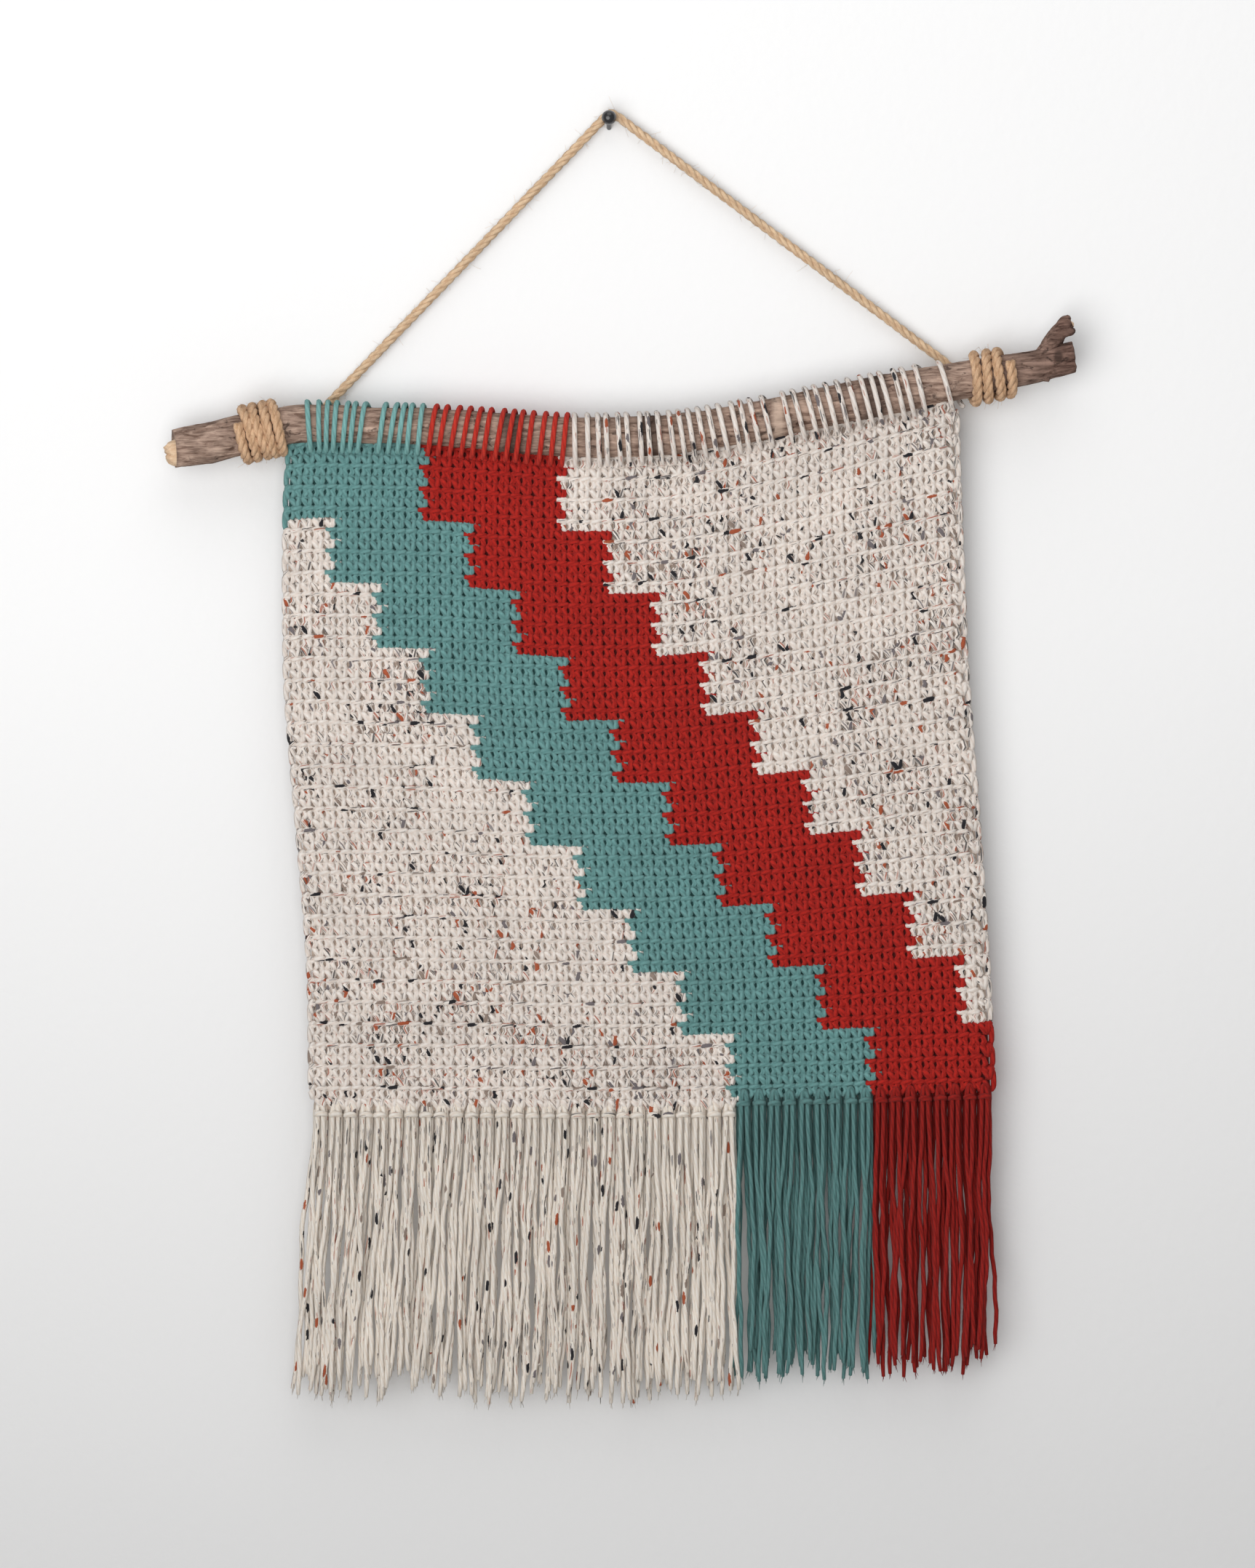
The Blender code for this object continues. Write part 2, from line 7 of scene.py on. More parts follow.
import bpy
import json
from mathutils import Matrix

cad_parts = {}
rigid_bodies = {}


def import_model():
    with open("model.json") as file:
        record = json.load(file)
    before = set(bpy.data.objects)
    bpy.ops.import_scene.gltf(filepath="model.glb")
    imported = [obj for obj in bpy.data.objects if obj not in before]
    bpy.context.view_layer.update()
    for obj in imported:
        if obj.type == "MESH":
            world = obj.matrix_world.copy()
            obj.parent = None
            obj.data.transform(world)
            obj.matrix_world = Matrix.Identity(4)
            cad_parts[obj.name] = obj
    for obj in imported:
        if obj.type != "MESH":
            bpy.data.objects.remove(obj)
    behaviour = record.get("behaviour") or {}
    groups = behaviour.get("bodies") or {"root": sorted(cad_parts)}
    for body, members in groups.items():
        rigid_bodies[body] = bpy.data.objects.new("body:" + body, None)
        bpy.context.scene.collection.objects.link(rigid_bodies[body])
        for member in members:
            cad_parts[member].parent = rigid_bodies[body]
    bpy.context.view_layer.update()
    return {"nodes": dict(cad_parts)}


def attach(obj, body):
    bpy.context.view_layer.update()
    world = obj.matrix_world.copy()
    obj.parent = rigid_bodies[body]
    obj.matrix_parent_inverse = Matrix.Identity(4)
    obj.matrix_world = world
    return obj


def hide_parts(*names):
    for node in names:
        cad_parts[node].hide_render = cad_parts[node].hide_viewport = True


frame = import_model()
print("nodes:", sorted(frame["nodes"]))

# %% What the cells below use
import json
import math
import random

import bmesh
import bpy
import numpy as np
from mathutils import Matrix, Vector, noise

TURN = 2 * math.pi
ROOT = "root"
LOOKS = bpy.data.collections.new("tapestry_looks")
bpy.context.scene.collection.children.link(LOOKS)

# %% [markdown]
# The camera comes first. The picture was taken straight on, so the camera looks along +Y at the middle of
# the frame. A pixel of the picture is 0.42 mm at the cloth, which fixes the lens once a distance is chosen.

# %% Camera
PIXEL = 0.00042
PICTURE_HEIGHT = 2156
PICTURE_CENTRE = (862.5, 1078.0)
PIN_FOOT_PIXEL = (837.0, 171.0)
CLOTH_DEPTH = -0.0225
CAMERA_DISTANCE = 5.0
SENSOR_HEIGHT = 36.0

camera_data = bpy.data.cameras.new("camera")
camera_data.sensor_fit = "VERTICAL"
camera_data.sensor_height = SENSOR_HEIGHT
camera_data.lens = SENSOR_HEIGHT * CAMERA_DISTANCE / (PICTURE_HEIGHT * PIXEL)
camera = bpy.data.objects.new("camera", camera_data)
camera.location = (
    (PICTURE_CENTRE[0] - PIN_FOOT_PIXEL[0]) * PIXEL,
    CLOTH_DEPTH - CAMERA_DISTANCE,
    (PIN_FOOT_PIXEL[1] - PICTURE_CENTRE[1]) * PIXEL,
)
camera.rotation_euler = (TURN / 4, 0, 0)
bpy.context.scene.collection.objects.link(camera)
bpy.context.scene.camera = camera
print("lens", round(camera_data.lens, 1), "mm")

# %% [markdown]
# Nearly all of this object is yarn, so the first tool turns a path into a tube. Hundreds of curve objects
# would do it too, but thousands of stitches are quicker as one joined mesh: a grid is rolled up once, and
# its copies are laid along all the paths at the same time. Each tube carries a UV map whose first number is
# the length along the yarn in metres and whose second is the share of the way round it.


# %% Smooth readings from a table
def smooth(rows, at):
    """The columns after the first, read at many places from a smooth curve through the rows."""
    table = np.array(rows, float)
    last = len(table) - 1
    at = np.clip(np.asarray(at, float), table[0, 0], table[-1, 0])
    high = np.clip(np.searchsorted(table[:, 0], at, side="right"), 1, last)
    start, end = table[high - 1], table[high]
    before, after = table[np.maximum(high - 2, 0)], table[np.minimum(high + 1, last)]
    span = end[..., :1] - start[..., :1]
    share = (at[..., None] - start[..., :1]) / span
    slope_in = (end - before) / (end[..., :1] - before[..., :1]) * span
    slope_out = (after - start) / (after[..., :1] - start[..., :1]) * span
    rise = end - start
    bend = (3 * rise - 2 * slope_in - slope_out) * share**2
    bend += (slope_in + slope_out - 2 * rise) * share**3
    value = start + slope_in * share + bend
    return np.moveaxis(value[..., 1:], -1, 0)


def resample(points, count):
    """Evenly spaced points on a smooth curve through a route's own points."""
    points = np.array(points, float)
    steps = np.linalg.norm(np.diff(points, axis=0), axis=1)
    along = np.concatenate([[0.0], np.cumsum(steps)])
    rows = np.column_stack([along, points])
    return smooth(rows, np.linspace(0, along[-1], count)).T


def lengths_along(paths):
    """The length run from each path's start to each of its points."""
    steps = np.linalg.norm(np.diff(paths, axis=1), axis=2)
    return np.concatenate([np.zeros((len(paths), 1)), np.cumsum(steps, axis=1)], axis=1)


print("a straight slope from 0 to 1, read a quarter of the way:", smooth([(0, 0), (1, 1)], 0.25)[0])


# %% A grid rolled into a tube
POLE_MERGE = 0.01


def tube_layout(rings, sides):
    """A rolled-up grid with its ends drawn to a point: where each vertex and each face corner belongs."""
    # The grid reaches from -0.5 to 0.5 both ways, so half more gives the share along it.
    bm = bmesh.new()
    bmesh.ops.create_grid(bm, x_segments=rings - 1, y_segments=sides, size=0.5)
    shares = bm.loops.layers.uv.new("shares")
    ring_layer = bm.verts.layers.int.new("ring")
    side_layer = bm.verts.layers.int.new("side")
    for face in bm.faces:
        for loop in face.loops:
            loop[shares].uv = (loop.vert.co.x + 0.5, loop.vert.co.y + 0.5)
    for vert in bm.verts:
        ring = round((vert.co.x + 0.5) * (rings - 1))
        side = round((vert.co.y + 0.5) * sides)
        vert[ring_layer], vert[side_layer] = ring, side
        angle = TURN * side / sides
        swell = 0.0 if ring in (0, rings - 1) else 1.0
        vert.co = (swell * math.cos(angle), swell * math.sin(angle), ring)
    bmesh.ops.remove_doubles(bm, verts=bm.verts, dist=POLE_MERGE)
    bmesh.ops.recalc_face_normals(bm, faces=bm.faces)
    bm.verts.index_update()
    corners = [loop for face in bm.faces for loop in face.loops]
    sizes = [len(face.loops) for face in bm.faces]
    layout = {
        "ring": np.array([vert[ring_layer] for vert in bm.verts]),
        "angle": np.array([TURN * vert[side_layer] / sides for vert in bm.verts]),
        "corner": np.array([loop.vert.index for loop in corners]),
        "corner_ring": np.array([round(loop[shares].uv.x * (rings - 1)) for loop in corners]),
        "corner_round": np.array([loop[shares].uv.y for loop in corners]),
        "face_start": np.cumsum([0] + sizes[:-1]),
    }
    bm.free()
    return layout


print("a tube of 4 rings and 6 sides has", len(tube_layout(4, 6)["face_start"]), "faces")


# %% Tubes along many paths
STEEP = 0.9
END_DOME = 0.35


def path_frames(paths):
    """For each point of each path, the way ahead and two directions across it that don't twist."""
    ahead = np.gradient(paths, axis=1)
    ahead /= np.linalg.norm(ahead, axis=2, keepdims=True)
    level = np.abs(ahead[:, 0, 1:2]) < STEEP
    normal = np.cross(ahead[:, 0], np.where(level, (0.0, 1.0, 0.0), (1.0, 0.0, 0.0)))
    normals = np.empty_like(paths)
    for ring in range(paths.shape[1]):
        tangent = ahead[:, ring]
        normal = normal - tangent * np.sum(normal * tangent, axis=1, keepdims=True)
        normal /= np.linalg.norm(normal, axis=1, keepdims=True)
        normals[:, ring] = normal
    return ahead, normals, np.cross(ahead, normals)


def with_ends(paths, radii):
    """The paths and radii with one more point at each end, where the tube closes in a low dome."""
    first, last = paths[:, 0], paths[:, -1]
    out_first = first - paths[:, 1]
    out_last = last - paths[:, -2]
    out_first *= END_DOME * radii[:, :1] / np.linalg.norm(out_first, axis=1, keepdims=True)
    out_last *= END_DOME * radii[:, -1:] / np.linalg.norm(out_last, axis=1, keepdims=True)
    longer = np.concatenate([(first + out_first)[:, None], paths, (last + out_last)[:, None]], axis=1)
    return longer, np.pad(radii, ((0, 0), (1, 1)))


def mesh_from_copies(name, points, layout, uvs):
    """One mesh of many copies of a layout, each with its own points and UVs."""
    count, verts = points.shape[:2]
    corners, faces = len(layout["corner"]), len(layout["face_start"])
    copy = np.arange(count)[:, None]
    mesh = bpy.data.meshes.new(name)
    mesh.vertices.add(count * verts)
    mesh.vertices.foreach_set("co", points.astype(np.float32).ravel())
    mesh.loops.add(count * corners)
    corner_verts = layout["corner"] + copy * verts
    mesh.loops.foreach_set("vertex_index", corner_verts.astype(np.int32).ravel())
    mesh.polygons.add(count * faces)
    face_starts = layout["face_start"] + copy * corners
    mesh.polygons.foreach_set("loop_start", face_starts.astype(np.int32).ravel())
    mesh.uv_layers.new(name="yarn").data.foreach_set("uv", uvs.astype(np.float32).ravel())
    mesh.update(calc_edges=True)
    mesh.validate()
    mesh.shade_smooth()
    return mesh


def joined_tubes(name, paths, radii, sides, run_on=0.0):
    """A mesh of one closed tube along each path. With run_on each tube's yarn starts that much later."""
    paths = np.asarray(paths, float)
    radii = np.broadcast_to(radii, paths.shape[:2])
    paths, radii = with_ends(paths, radii)
    _, normal, across = path_frames(paths)
    layout = tube_layout(paths.shape[1], sides)
    ring, angle = layout["ring"], layout["angle"][:, None]
    offset = np.cos(angle) * normal[:, ring] + np.sin(angle) * across[:, ring]
    points = paths[:, ring] + radii[:, ring, None] * offset
    along = lengths_along(paths)[:, layout["corner_ring"]] + run_on * np.arange(len(paths))[:, None]
    around = np.broadcast_to(layout["corner_round"], along.shape)
    return mesh_from_copies(name, points, layout, np.stack([along, around], axis=2))


# %% Put a finished piece in the scene
def count_triangles(mesh):
    """The number of triangles that a mesh's faces are split into."""
    mesh.calc_loop_triangles()
    return len(mesh.loop_triangles)


def add_piece(name, mesh, materials, replaced=()):
    """Links a piece, gives it its finish, and lets it ride and stand for its CAD nodes."""
    piece = bpy.data.objects.new(name, mesh)
    LOOKS.objects.link(piece)
    for material in materials:
        mesh.materials.append(material)
    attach(piece, ROOT)
    if replaced:
        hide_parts(*replaced)
    print(name, count_triangles(mesh), "triangles")
    return piece


# %% [markdown]
# Materials are built from nodes. Yarn, jute and wood share their effects, so each effect is a group with
# named inputs, made once: the twist of the plies with its fine fibres, the slow changes of tone, the tufts
# of a tweed yarn, and the long grain of wood. A group gives back only values and colours, and each material
# has its own shader.


# %% Small helpers for node trees
def add_node(tree, kind, inputs=None, **settings):
    """A new node. Each named input takes a value or is linked to a socket."""
    node = tree.nodes.new("ShaderNode" + kind)
    for key, value in settings.items():
        setattr(node, key, value)
    for key, value in (inputs or {}).items():
        if isinstance(value, bpy.types.NodeSocket):
            tree.links.new(value, node.inputs[key])
        else:
            node.inputs[key].default_value = value
    return node


def calculate(tree, operation, *values):
    """A math node's result."""
    return add_node(tree, "Math", dict(enumerate(values)), operation=operation).outputs[0]


def mix_colours(tree, share, first, second):
    """Two colours mixed. The node's colour sockets come after those for numbers and vectors."""
    node = add_node(tree, "Mix", data_type="RGBA")
    for key, value in ((0, share), (6, first), (7, second)):
        if isinstance(value, bpy.types.NodeSocket):
            tree.links.new(value, node.inputs[key])
        else:
            node.inputs[key].default_value = value
    return node.outputs[2]


def remap(tree, value, low, high, new_low=0.0, new_high=1.0):
    """A value moved from one range to another, and held inside it."""
    ends = {0: value, 1: low, 2: high, 3: new_low, 4: new_high}
    return add_node(tree, "MapRange", ends, clamp=True).outputs[0]


def new_group(name, inputs, outputs):
    """An empty group with float inputs that have defaults, and with named outputs."""
    group = bpy.data.node_groups.new(name, "ShaderNodeTree")
    for label, default in inputs.items():
        socket = group.interface.new_socket(label, in_out="INPUT", socket_type="NodeSocketFloat")
        socket.default_value = default
    for label, kind in outputs.items():
        group.interface.new_socket(label, in_out="OUTPUT", socket_type="NodeSocket" + kind)
    return group, group.nodes.new("NodeGroupInput").outputs, group.nodes.new("NodeGroupOutput").inputs


def use_group(tree, group, **values):
    """The outputs of one use of a group, with these numbers on its inputs."""
    node = tree.nodes.new("ShaderNodeGroup")
    node.node_tree = group
    for key, value in values.items():
        node.inputs[key].default_value = value
    return node.outputs


def linear(code):
    """A colour given as the red, green and blue of a screen, from 0 to 255, made linear."""
    shares = [value / 255 for value in code]
    return (*(s / 12.92 if s <= 0.04045 else ((s + 0.055) / 1.055) ** 2.4 for s in shares), 1.0)


print("a screen's middle grey made linear:", round(linear((128, 128, 128))[0], 3))

# %% [markdown]
# A yarn's plies wind round it, so light falls on slanting ridges with dark grooves between. A sine wave
# over the tube's UV map draws them at a true lay length, in the relief and as painted shade in the colour,
# and stretched noise that follows the wave gives the fibres.

# %% The twist of the plies
RIDGE_WAVE = 0.49
FIBRES_A_METRE = 620.0
FIBRES_A_TURN = 15.0
FIBRE_NOISE = {"Scale": 1.0, "Detail": 4.0, "Roughness": 0.62}
FIBRE_SHADE = 1.3
SHADE_RANGE = (-0.85, 0.15)


def make_twist_group():
    """Rounded ridges that wind round a tube, with fine fibres laid along them; the Shade is painted shade in
    the grooves.
    """
    group, given, result = new_group(
        "twist",
        {"Plies": 3.0, "Lay": 0.008, "Ridge": 0.5, "Fibre": 1.0},
        {"Height": "Float", "Shade": "Float"},
    )
    place = add_node(group, "UVMap", uv_map="yarn").outputs[0]
    split = add_node(group, "SeparateXYZ", {0: place}).outputs
    turns = calculate(group, "DIVIDE", split[0], given["Lay"])
    phase = calculate(group, "MULTIPLY_ADD", split[1], given["Plies"], turns)
    wave = calculate(group, "SINE", calculate(group, "MULTIPLY", phase, TURN))
    ridge = calculate(group, "SQRT", calculate(group, "MULTIPLY_ADD", wave, RIDGE_WAVE, 0.5))
    groove = calculate(group, "MULTIPLY", calculate(group, "SUBTRACT", ridge, 1.0), given["Ridge"])
    lengthwise = calculate(group, "MULTIPLY", split[0], FIBRES_A_METRE)
    sideways = calculate(group, "MULTIPLY", phase, FIBRES_A_TURN)
    combined = add_node(group, "CombineXYZ", {0: lengthwise, 1: sideways})
    fibre = add_node(group, "TexNoise", {"Vector": combined.outputs[0], **FIBRE_NOISE}).outputs[0]
    fibre = calculate(group, "MULTIPLY", calculate(group, "SUBTRACT", fibre, 0.5), given["Fibre"])
    group.links.new(calculate(group, "ADD", calculate(group, "ADD", groove, fibre), 1.0), result["Height"])
    shade = calculate(group, "MULTIPLY_ADD", fibre, FIBRE_SHADE, groove)
    group.links.new(remap(group, shade, *SHADE_RANGE), result["Shade"])
    return group


TWIST = make_twist_group()
print("group", TWIST.name)


# %% Slow changes of tone
TONE_DETAIL = 3.0


def make_tone_group():
    """Broad, soft patches in which the dye or the light comes out a little deeper."""
    group, given, result = new_group("tone", {"Size": 0.05, "Amount": 0.2}, {"Tone": "Float"})
    place = add_node(group, "TexCoord").outputs["Object"]
    scale = calculate(group, "DIVIDE", 1.0, given["Size"])
    patches = add_node(group, "TexNoise", {"Vector": place, "Scale": scale, "Detail": TONE_DETAIL}).outputs[0]
    centred = calculate(group, "SUBTRACT", patches, 0.5)
    group.links.new(calculate(group, "MULTIPLY_ADD", centred, given["Amount"], 1.0), result["Tone"])
    return group


TONE = make_tone_group()
print("group", TONE.name)

# %% [markdown]
# Tweed yarn is spun with short tufts of another colour. A cell texture on the yarn's own length and girth
# gives each cell a few random numbers: most cells stay plain, a few hold a tuft, longer than wide. Painting
# on the yarn itself makes the tufts bend with every stitch, which a pattern in the air couldn't do. Broad
# noise in the air then crowds them in some places, as on real cloth.

# %% Tweed tufts
TUFT_COLOURS = [
    # share of the draws at which the colour starts, colour
    (0.00, (30, 28, 34)),
    (0.40, (178, 88, 54)),
    (0.66, (122, 114, 116)),
    (0.84, (154, 136, 124)),
]
TUFT_RAGGED = (0.34, 0.55, 0.0)
RAGGED_NOISE = {"Scale": 4.5, "Detail": 3.0}
TUFT_EDGE = 0.06
SMALLEST_TUFT = 0.45
CROWD_NOISE = {"Scale": 24.0, "Detail": 2.0}
CROWDED_FROM, CROWDED_TO = 0.40, 0.64
CROWDED_LEAST, CROWDED_MOST = 0.5, 1.9


def make_tuft_group():
    """The mask and the colour of the tufts, each in one stretched cell with a ragged edge."""
    group, given, result = new_group(
        "tufts",
        {"Density": 0.2, "Spacing": 0.01, "Round": 3.2, "Reach": 0.4},
        {"Mask": "Float", "Colour": "Color"},
    )
    place = add_node(group, "UVMap", uv_map="yarn").outputs[0]
    split = add_node(group, "SeparateXYZ", {0: place}).outputs
    along = calculate(group, "DIVIDE", split[0], given["Spacing"])
    around = calculate(group, "MULTIPLY", split[1], given["Round"])
    flat = add_node(group, "CombineXYZ", {0: along, 1: around}).outputs[0]
    ragged = add_node(group, "TexNoise", {"Vector": flat, **RAGGED_NOISE}).outputs[1]
    centred = {0: ragged, 1: (0.5, 0.5, 0.5)}
    shift = add_node(group, "VectorMath", centred, operation="SUBTRACT").outputs[0]
    shifted = {0: shift, 1: TUFT_RAGGED, 2: flat}
    moved = add_node(group, "VectorMath", shifted, operation="MULTIPLY_ADD").outputs[0]
    cells = add_node(group, "TexVoronoi", {"Vector": moved, "Scale": 1.0}, voronoi_dimensions="2D")
    draws = add_node(group, "SeparateColor", {0: cells.outputs["Color"]}).outputs
    where = add_node(group, "TexCoord").outputs["Object"]
    crowd = add_node(group, "TexNoise", {"Vector": where, **CROWD_NOISE}).outputs[0]
    crowd = remap(group, crowd, CROWDED_FROM, CROWDED_TO, CROWDED_LEAST, CROWDED_MOST)
    present = calculate(group, "LESS_THAN", draws[0], calculate(group, "MULTIPLY", crowd, given["Density"]))
    size = remap(group, draws[1], 0.0, 1.0, SMALLEST_TUFT, 1.0)
    reach = calculate(group, "MULTIPLY", size, given["Reach"])
    edge = calculate(group, "SUBTRACT", reach, cells.outputs["Distance"])
    mask = calculate(group, "MULTIPLY", present, remap(group, edge, 0.0, TUFT_EDGE))
    group.links.new(mask, result["Mask"])
    ramp = add_node(group, "ValToRGB", {0: draws[2]})
    ramp.color_ramp.interpolation = "CONSTANT"
    stops = ramp.color_ramp.elements
    stops.remove(stops[1])
    for start, colour in TUFT_COLOURS:
        stop = stops.new(start) if start else stops[0]
        stop.color = linear(colour)
    group.links.new(ramp.outputs[0], result["Colour"])
    return group


TUFTS = make_tuft_group()
print("group", TUFTS.name)

# %% [markdown]
# Each yarn is one material: pale on the plies, with painted shade in the grooves, and dull, with the faint
# sheen of wool. The cream yarn takes three kinds of tuft: fine streaks, longer threads and a few bold ones.


# %% Yarn materials
def new_material(name, **values):
    """A material with its own shader, whose plain numbers are set on the shader's sockets."""
    material = bpy.data.materials.new(name)
    material.use_nodes = True
    tree = material.node_tree
    shader = tree.nodes["Principled BSDF"]
    for key, value in values.items():
        shader.inputs[key.replace("_", " ")].default_value = value
    return material, tree, shader


def add_bump(tree, shader, height, distance, strength):
    """Fine relief from a height, without any more mesh."""
    bump = add_node(tree, "Bump", {"Height": height, "Distance": distance, "Strength": strength})
    tree.links.new(bump.outputs[0], shader.inputs["Normal"])


def add_toned_colour(tree, shader, colour, size, amount):
    """The colour, made uneven by the tone group, as the shader's own."""
    tone = use_group(tree, TONE, Size=size, Amount=amount)["Tone"]
    toned = add_node(tree, "HueSaturation", {"Value": tone, "Color": colour})
    tree.links.new(toned.outputs[0], shader.inputs["Base Color"])
    return tone


YARN_FINISH = {"Roughness": 0.95, "Sheen_Roughness": 0.6, "Specular_IOR_Level": 0.2}
YARN_TWIST = {"Plies": 3, "Lay": 0.0085, "Ridge": 0.6, "Fibre": 1.1}
YARN_TONE = (0.03, 0.3)
YARN_BUMP = (0.0008, 0.8)
WOOL_SHEEN = 0.12
DEEP_RED_SHEEN = 0.04


def yarn_material(name, light, dark, kinds=(), winding=YARN_TWIST, sheen=WOOL_SHEEN):
    """Spun yarn: pale on the plies, darker between them as painted shade, with the given kinds of tuft, uneven
    in tone.
    """
    material, tree, shader = new_material(name, Sheen_Weight=sheen, **YARN_FINISH)
    twist = use_group(tree, TWIST, **winding)
    # The darker colour in the grooves is painted shade.
    colour = mix_colours(tree, twist["Shade"], linear(dark), linear(light))
    for density, spacing, around, reach, strength in kinds:
        tufts = use_group(tree, TUFTS, Density=density, Spacing=spacing, Round=around, Reach=reach)
        share = calculate(tree, "MULTIPLY", tufts["Mask"], strength)
        colour = mix_colours(tree, share, colour, tufts["Colour"])
    add_toned_colour(tree, shader, colour, *YARN_TONE)
    add_bump(tree, shader, twist["Height"], *YARN_BUMP)
    return material


TWEED = [
    # share of the cells with a tuft, length of a cell, cells round the yarn, largest reach, strength
    (0.29, 0.0060, 8.0, 0.40, 0.6),
    (0.19, 0.0150, 7.0, 0.42, 0.85),
    (0.15, 0.0085, 2.8, 0.54, 1.0),
]
# Each yarn's second colour is its painted shade in the grooves.
YARNS = {
    "cream": yarn_material("cream_yarn", (255, 248, 241), (234, 216, 202), TWEED),
    "teal": yarn_material("teal_yarn", (122, 172, 170), (82, 131, 129)),
    "red": yarn_material("red_yarn", (200, 41, 31), (138, 19, 14), sheen=DEEP_RED_SHEEN),
}
print("yarns", list(YARNS))

# %% [markdown]
# The hanging cord runs from the left wrap, over the pin and down to the right wrap, so both of its ends go
# back into the object. It is taut, so its route is written down as a few measured points. They lie closer
# together where it bends over the pin and goes into the wraps.

# %% Route of the cord
CORD_DIAMETER = 0.0055
CORD_POINTS = 460
CORD_ROUTE = [
    # x, y, z, from the left wrap, over the pin, to the right wrap
    (-0.1871, -0.0144, -0.1875),
    (-0.1860, -0.0094, -0.1859),
    (-0.1820, -0.0057, -0.1812),
    (-0.1740, -0.0045, -0.1724),
    (-0.1600, -0.0044, -0.1579),
    (-0.1200, -0.0044, -0.1165),
    (-0.0800, -0.0044, -0.0751),
    (-0.0400, -0.0044, -0.0336),
    (-0.0140, -0.0044, -0.0067),
    (-0.0036, -0.0042, 0.0042),
    (0.0006, -0.0040, 0.0076),
    (0.0052, -0.0042, 0.0057),
    (0.0160, -0.0044, -0.0024),
    (0.0600, -0.0044, -0.0355),
    (0.1000, -0.0044, -0.0655),
    (0.1400, -0.0044, -0.0955),
    (0.1800, -0.0044, -0.1256),
    (0.1940, -0.0045, -0.1361),
    (0.2006, -0.0049, -0.1425),
    (0.2064, -0.0063, -0.1506),
    (0.2103, -0.0096, -0.1570),
    (0.2115, -0.0149, -0.1589),
]
cord_path = resample(CORD_ROUTE, CORD_POINTS)

# %% [markdown]
# The cord is three strands of jute laid round each other, so each strand is a tube on a helix round the
# cord's middle line. Real jute is hairy, and bump can't show that against the white wall. So the hairs are
# short bent tubes with only three sides.

# %% Strands and hairs
CORD_LAY = 0.018
JUTE_STRANDS = 3
STRAND_SHARE = 0.52
STRAND_SIDES = 8
STRAND_RUN_ON = 0.3
HAIR_RADIUS = 0.00006
HAIR_REACH = (0.0014, 0.0044)
HAIR_START = 0.40
HAIR_SLANT = 1.5
HAIR_DROOP = 0.5
HAIR_STEPS = 5
HAIR_SIDES = 3
HAIR_RUN_ON = 0.01
WALL_CLEARANCE = 0.0003


def laid_strands(path, diameter, lay):
    """The helix of each strand round a cord's middle line."""
    path = np.asarray(path)[None]
    _, normal, across = path_frames(path)
    turn = TURN * lengths_along(path)[0] / lay
    reach = diameter / 2 * (1 - STRAND_SHARE)
    strands = []
    for strand in range(JUTE_STRANDS):
        angle = (turn + TURN * strand / JUTE_STRANDS)[:, None]
        strands.append(path[0] + reach * (np.cos(angle) * normal[0] + np.sin(angle) * across[0]))
    return strands


def jute_hairs(path, diameter, count, rng):
    """Short bent fibres that leave the cord at a slant."""
    hairs = []
    for _ in range(count):
        place = rng.integers(1, len(path) - 1)
        ahead = Vector(path[place + 1] - path[place - 1]).normalized()
        out = Vector(rng.normal(size=3))
        out = (out - ahead * out.dot(ahead)).normalized()
        lean = (ahead * rng.uniform(-HAIR_SLANT, HAIR_SLANT) + out).normalized()
        droop = Vector(rng.normal(size=3)) * HAIR_DROOP
        start = Vector(path[place]) + out * diameter * HAIR_START
        reach = rng.uniform(*HAIR_REACH)
        shares = [step / (HAIR_STEPS - 1) for step in range(HAIR_STEPS)]
        hairs.append([start + (lean * share + droop * share**2) * reach for share in shares])
    hairs = np.array(hairs)
    hairs[..., 1] = np.minimum(hairs[..., 1], -WALL_CLEARANCE)
    return hairs


def join_meshes(name, meshes):
    """One mesh from several, in this order."""
    bm = bmesh.new()
    for mesh in meshes:
        bm.from_mesh(mesh)
    joined = bpy.data.meshes.new(name)
    bm.to_mesh(joined)
    bm.free()
    joined.shade_smooth()
    return joined


def strand_mesh(name, path, diameter):
    """The three strands of a laid cord."""
    strands = laid_strands(path, diameter, CORD_LAY)
    return joined_tubes(name, strands, STRAND_SHARE * diameter / 2, STRAND_SIDES, STRAND_RUN_ON)


def fuzz_mesh(name, path, diameter, count, seed):
    """The loose hairs of a laid cord."""
    hairs = jute_hairs(path, diameter, count, np.random.default_rng(seed))
    return joined_tubes(name, hairs, HAIR_RADIUS, HAIR_SIDES, HAIR_RUN_ON)


print("a strand is", round(STRAND_SHARE * CORD_DIAMETER * 1000, 2), "mm thick")

# %% [markdown]
# The hairs are a piece of their own, so that the cord is measured on its strands alone.

# %% Hanging cord
JUTE_TWIST = {"Plies": 2, "Lay": 0.011, "Ridge": 0.6, "Fibre": 1.9}
JUTE = yarn_material("jute", (243, 202, 162), (182, 138, 100), winding=JUTE_TWIST)
# The cord and its wraps are one jute; this paler copy for the free cord is painted light.
LIT_PALE_JUTE = yarn_material("lit_pale_jute", (254, 222, 184), (214, 172, 132), winding=JUTE_TWIST)
CORD_HAIRS = 340
CORD_SEED = 5

cord_strands = strand_mesh("jute_cord", cord_path, CORD_DIAMETER)
hanging_cord = add_piece("jute_cord", cord_strands, [LIT_PALE_JUTE], ["hanging_cord"])
cord_hairs = fuzz_mesh("jute_cord_fuzz", cord_path, CORD_DIAMETER, CORD_HAIRS, CORD_SEED)
cord_fuzz = add_piece("jute_cord_fuzz", cord_hairs, [LIT_PALE_JUTE])

# %% [markdown]
# The branch is a rolled grid too, laid along a measured run: places along it, with the height of its middle
# and its thickness. All that sits on the branch reads its place from the same run, so nothing floats or
# sinks.

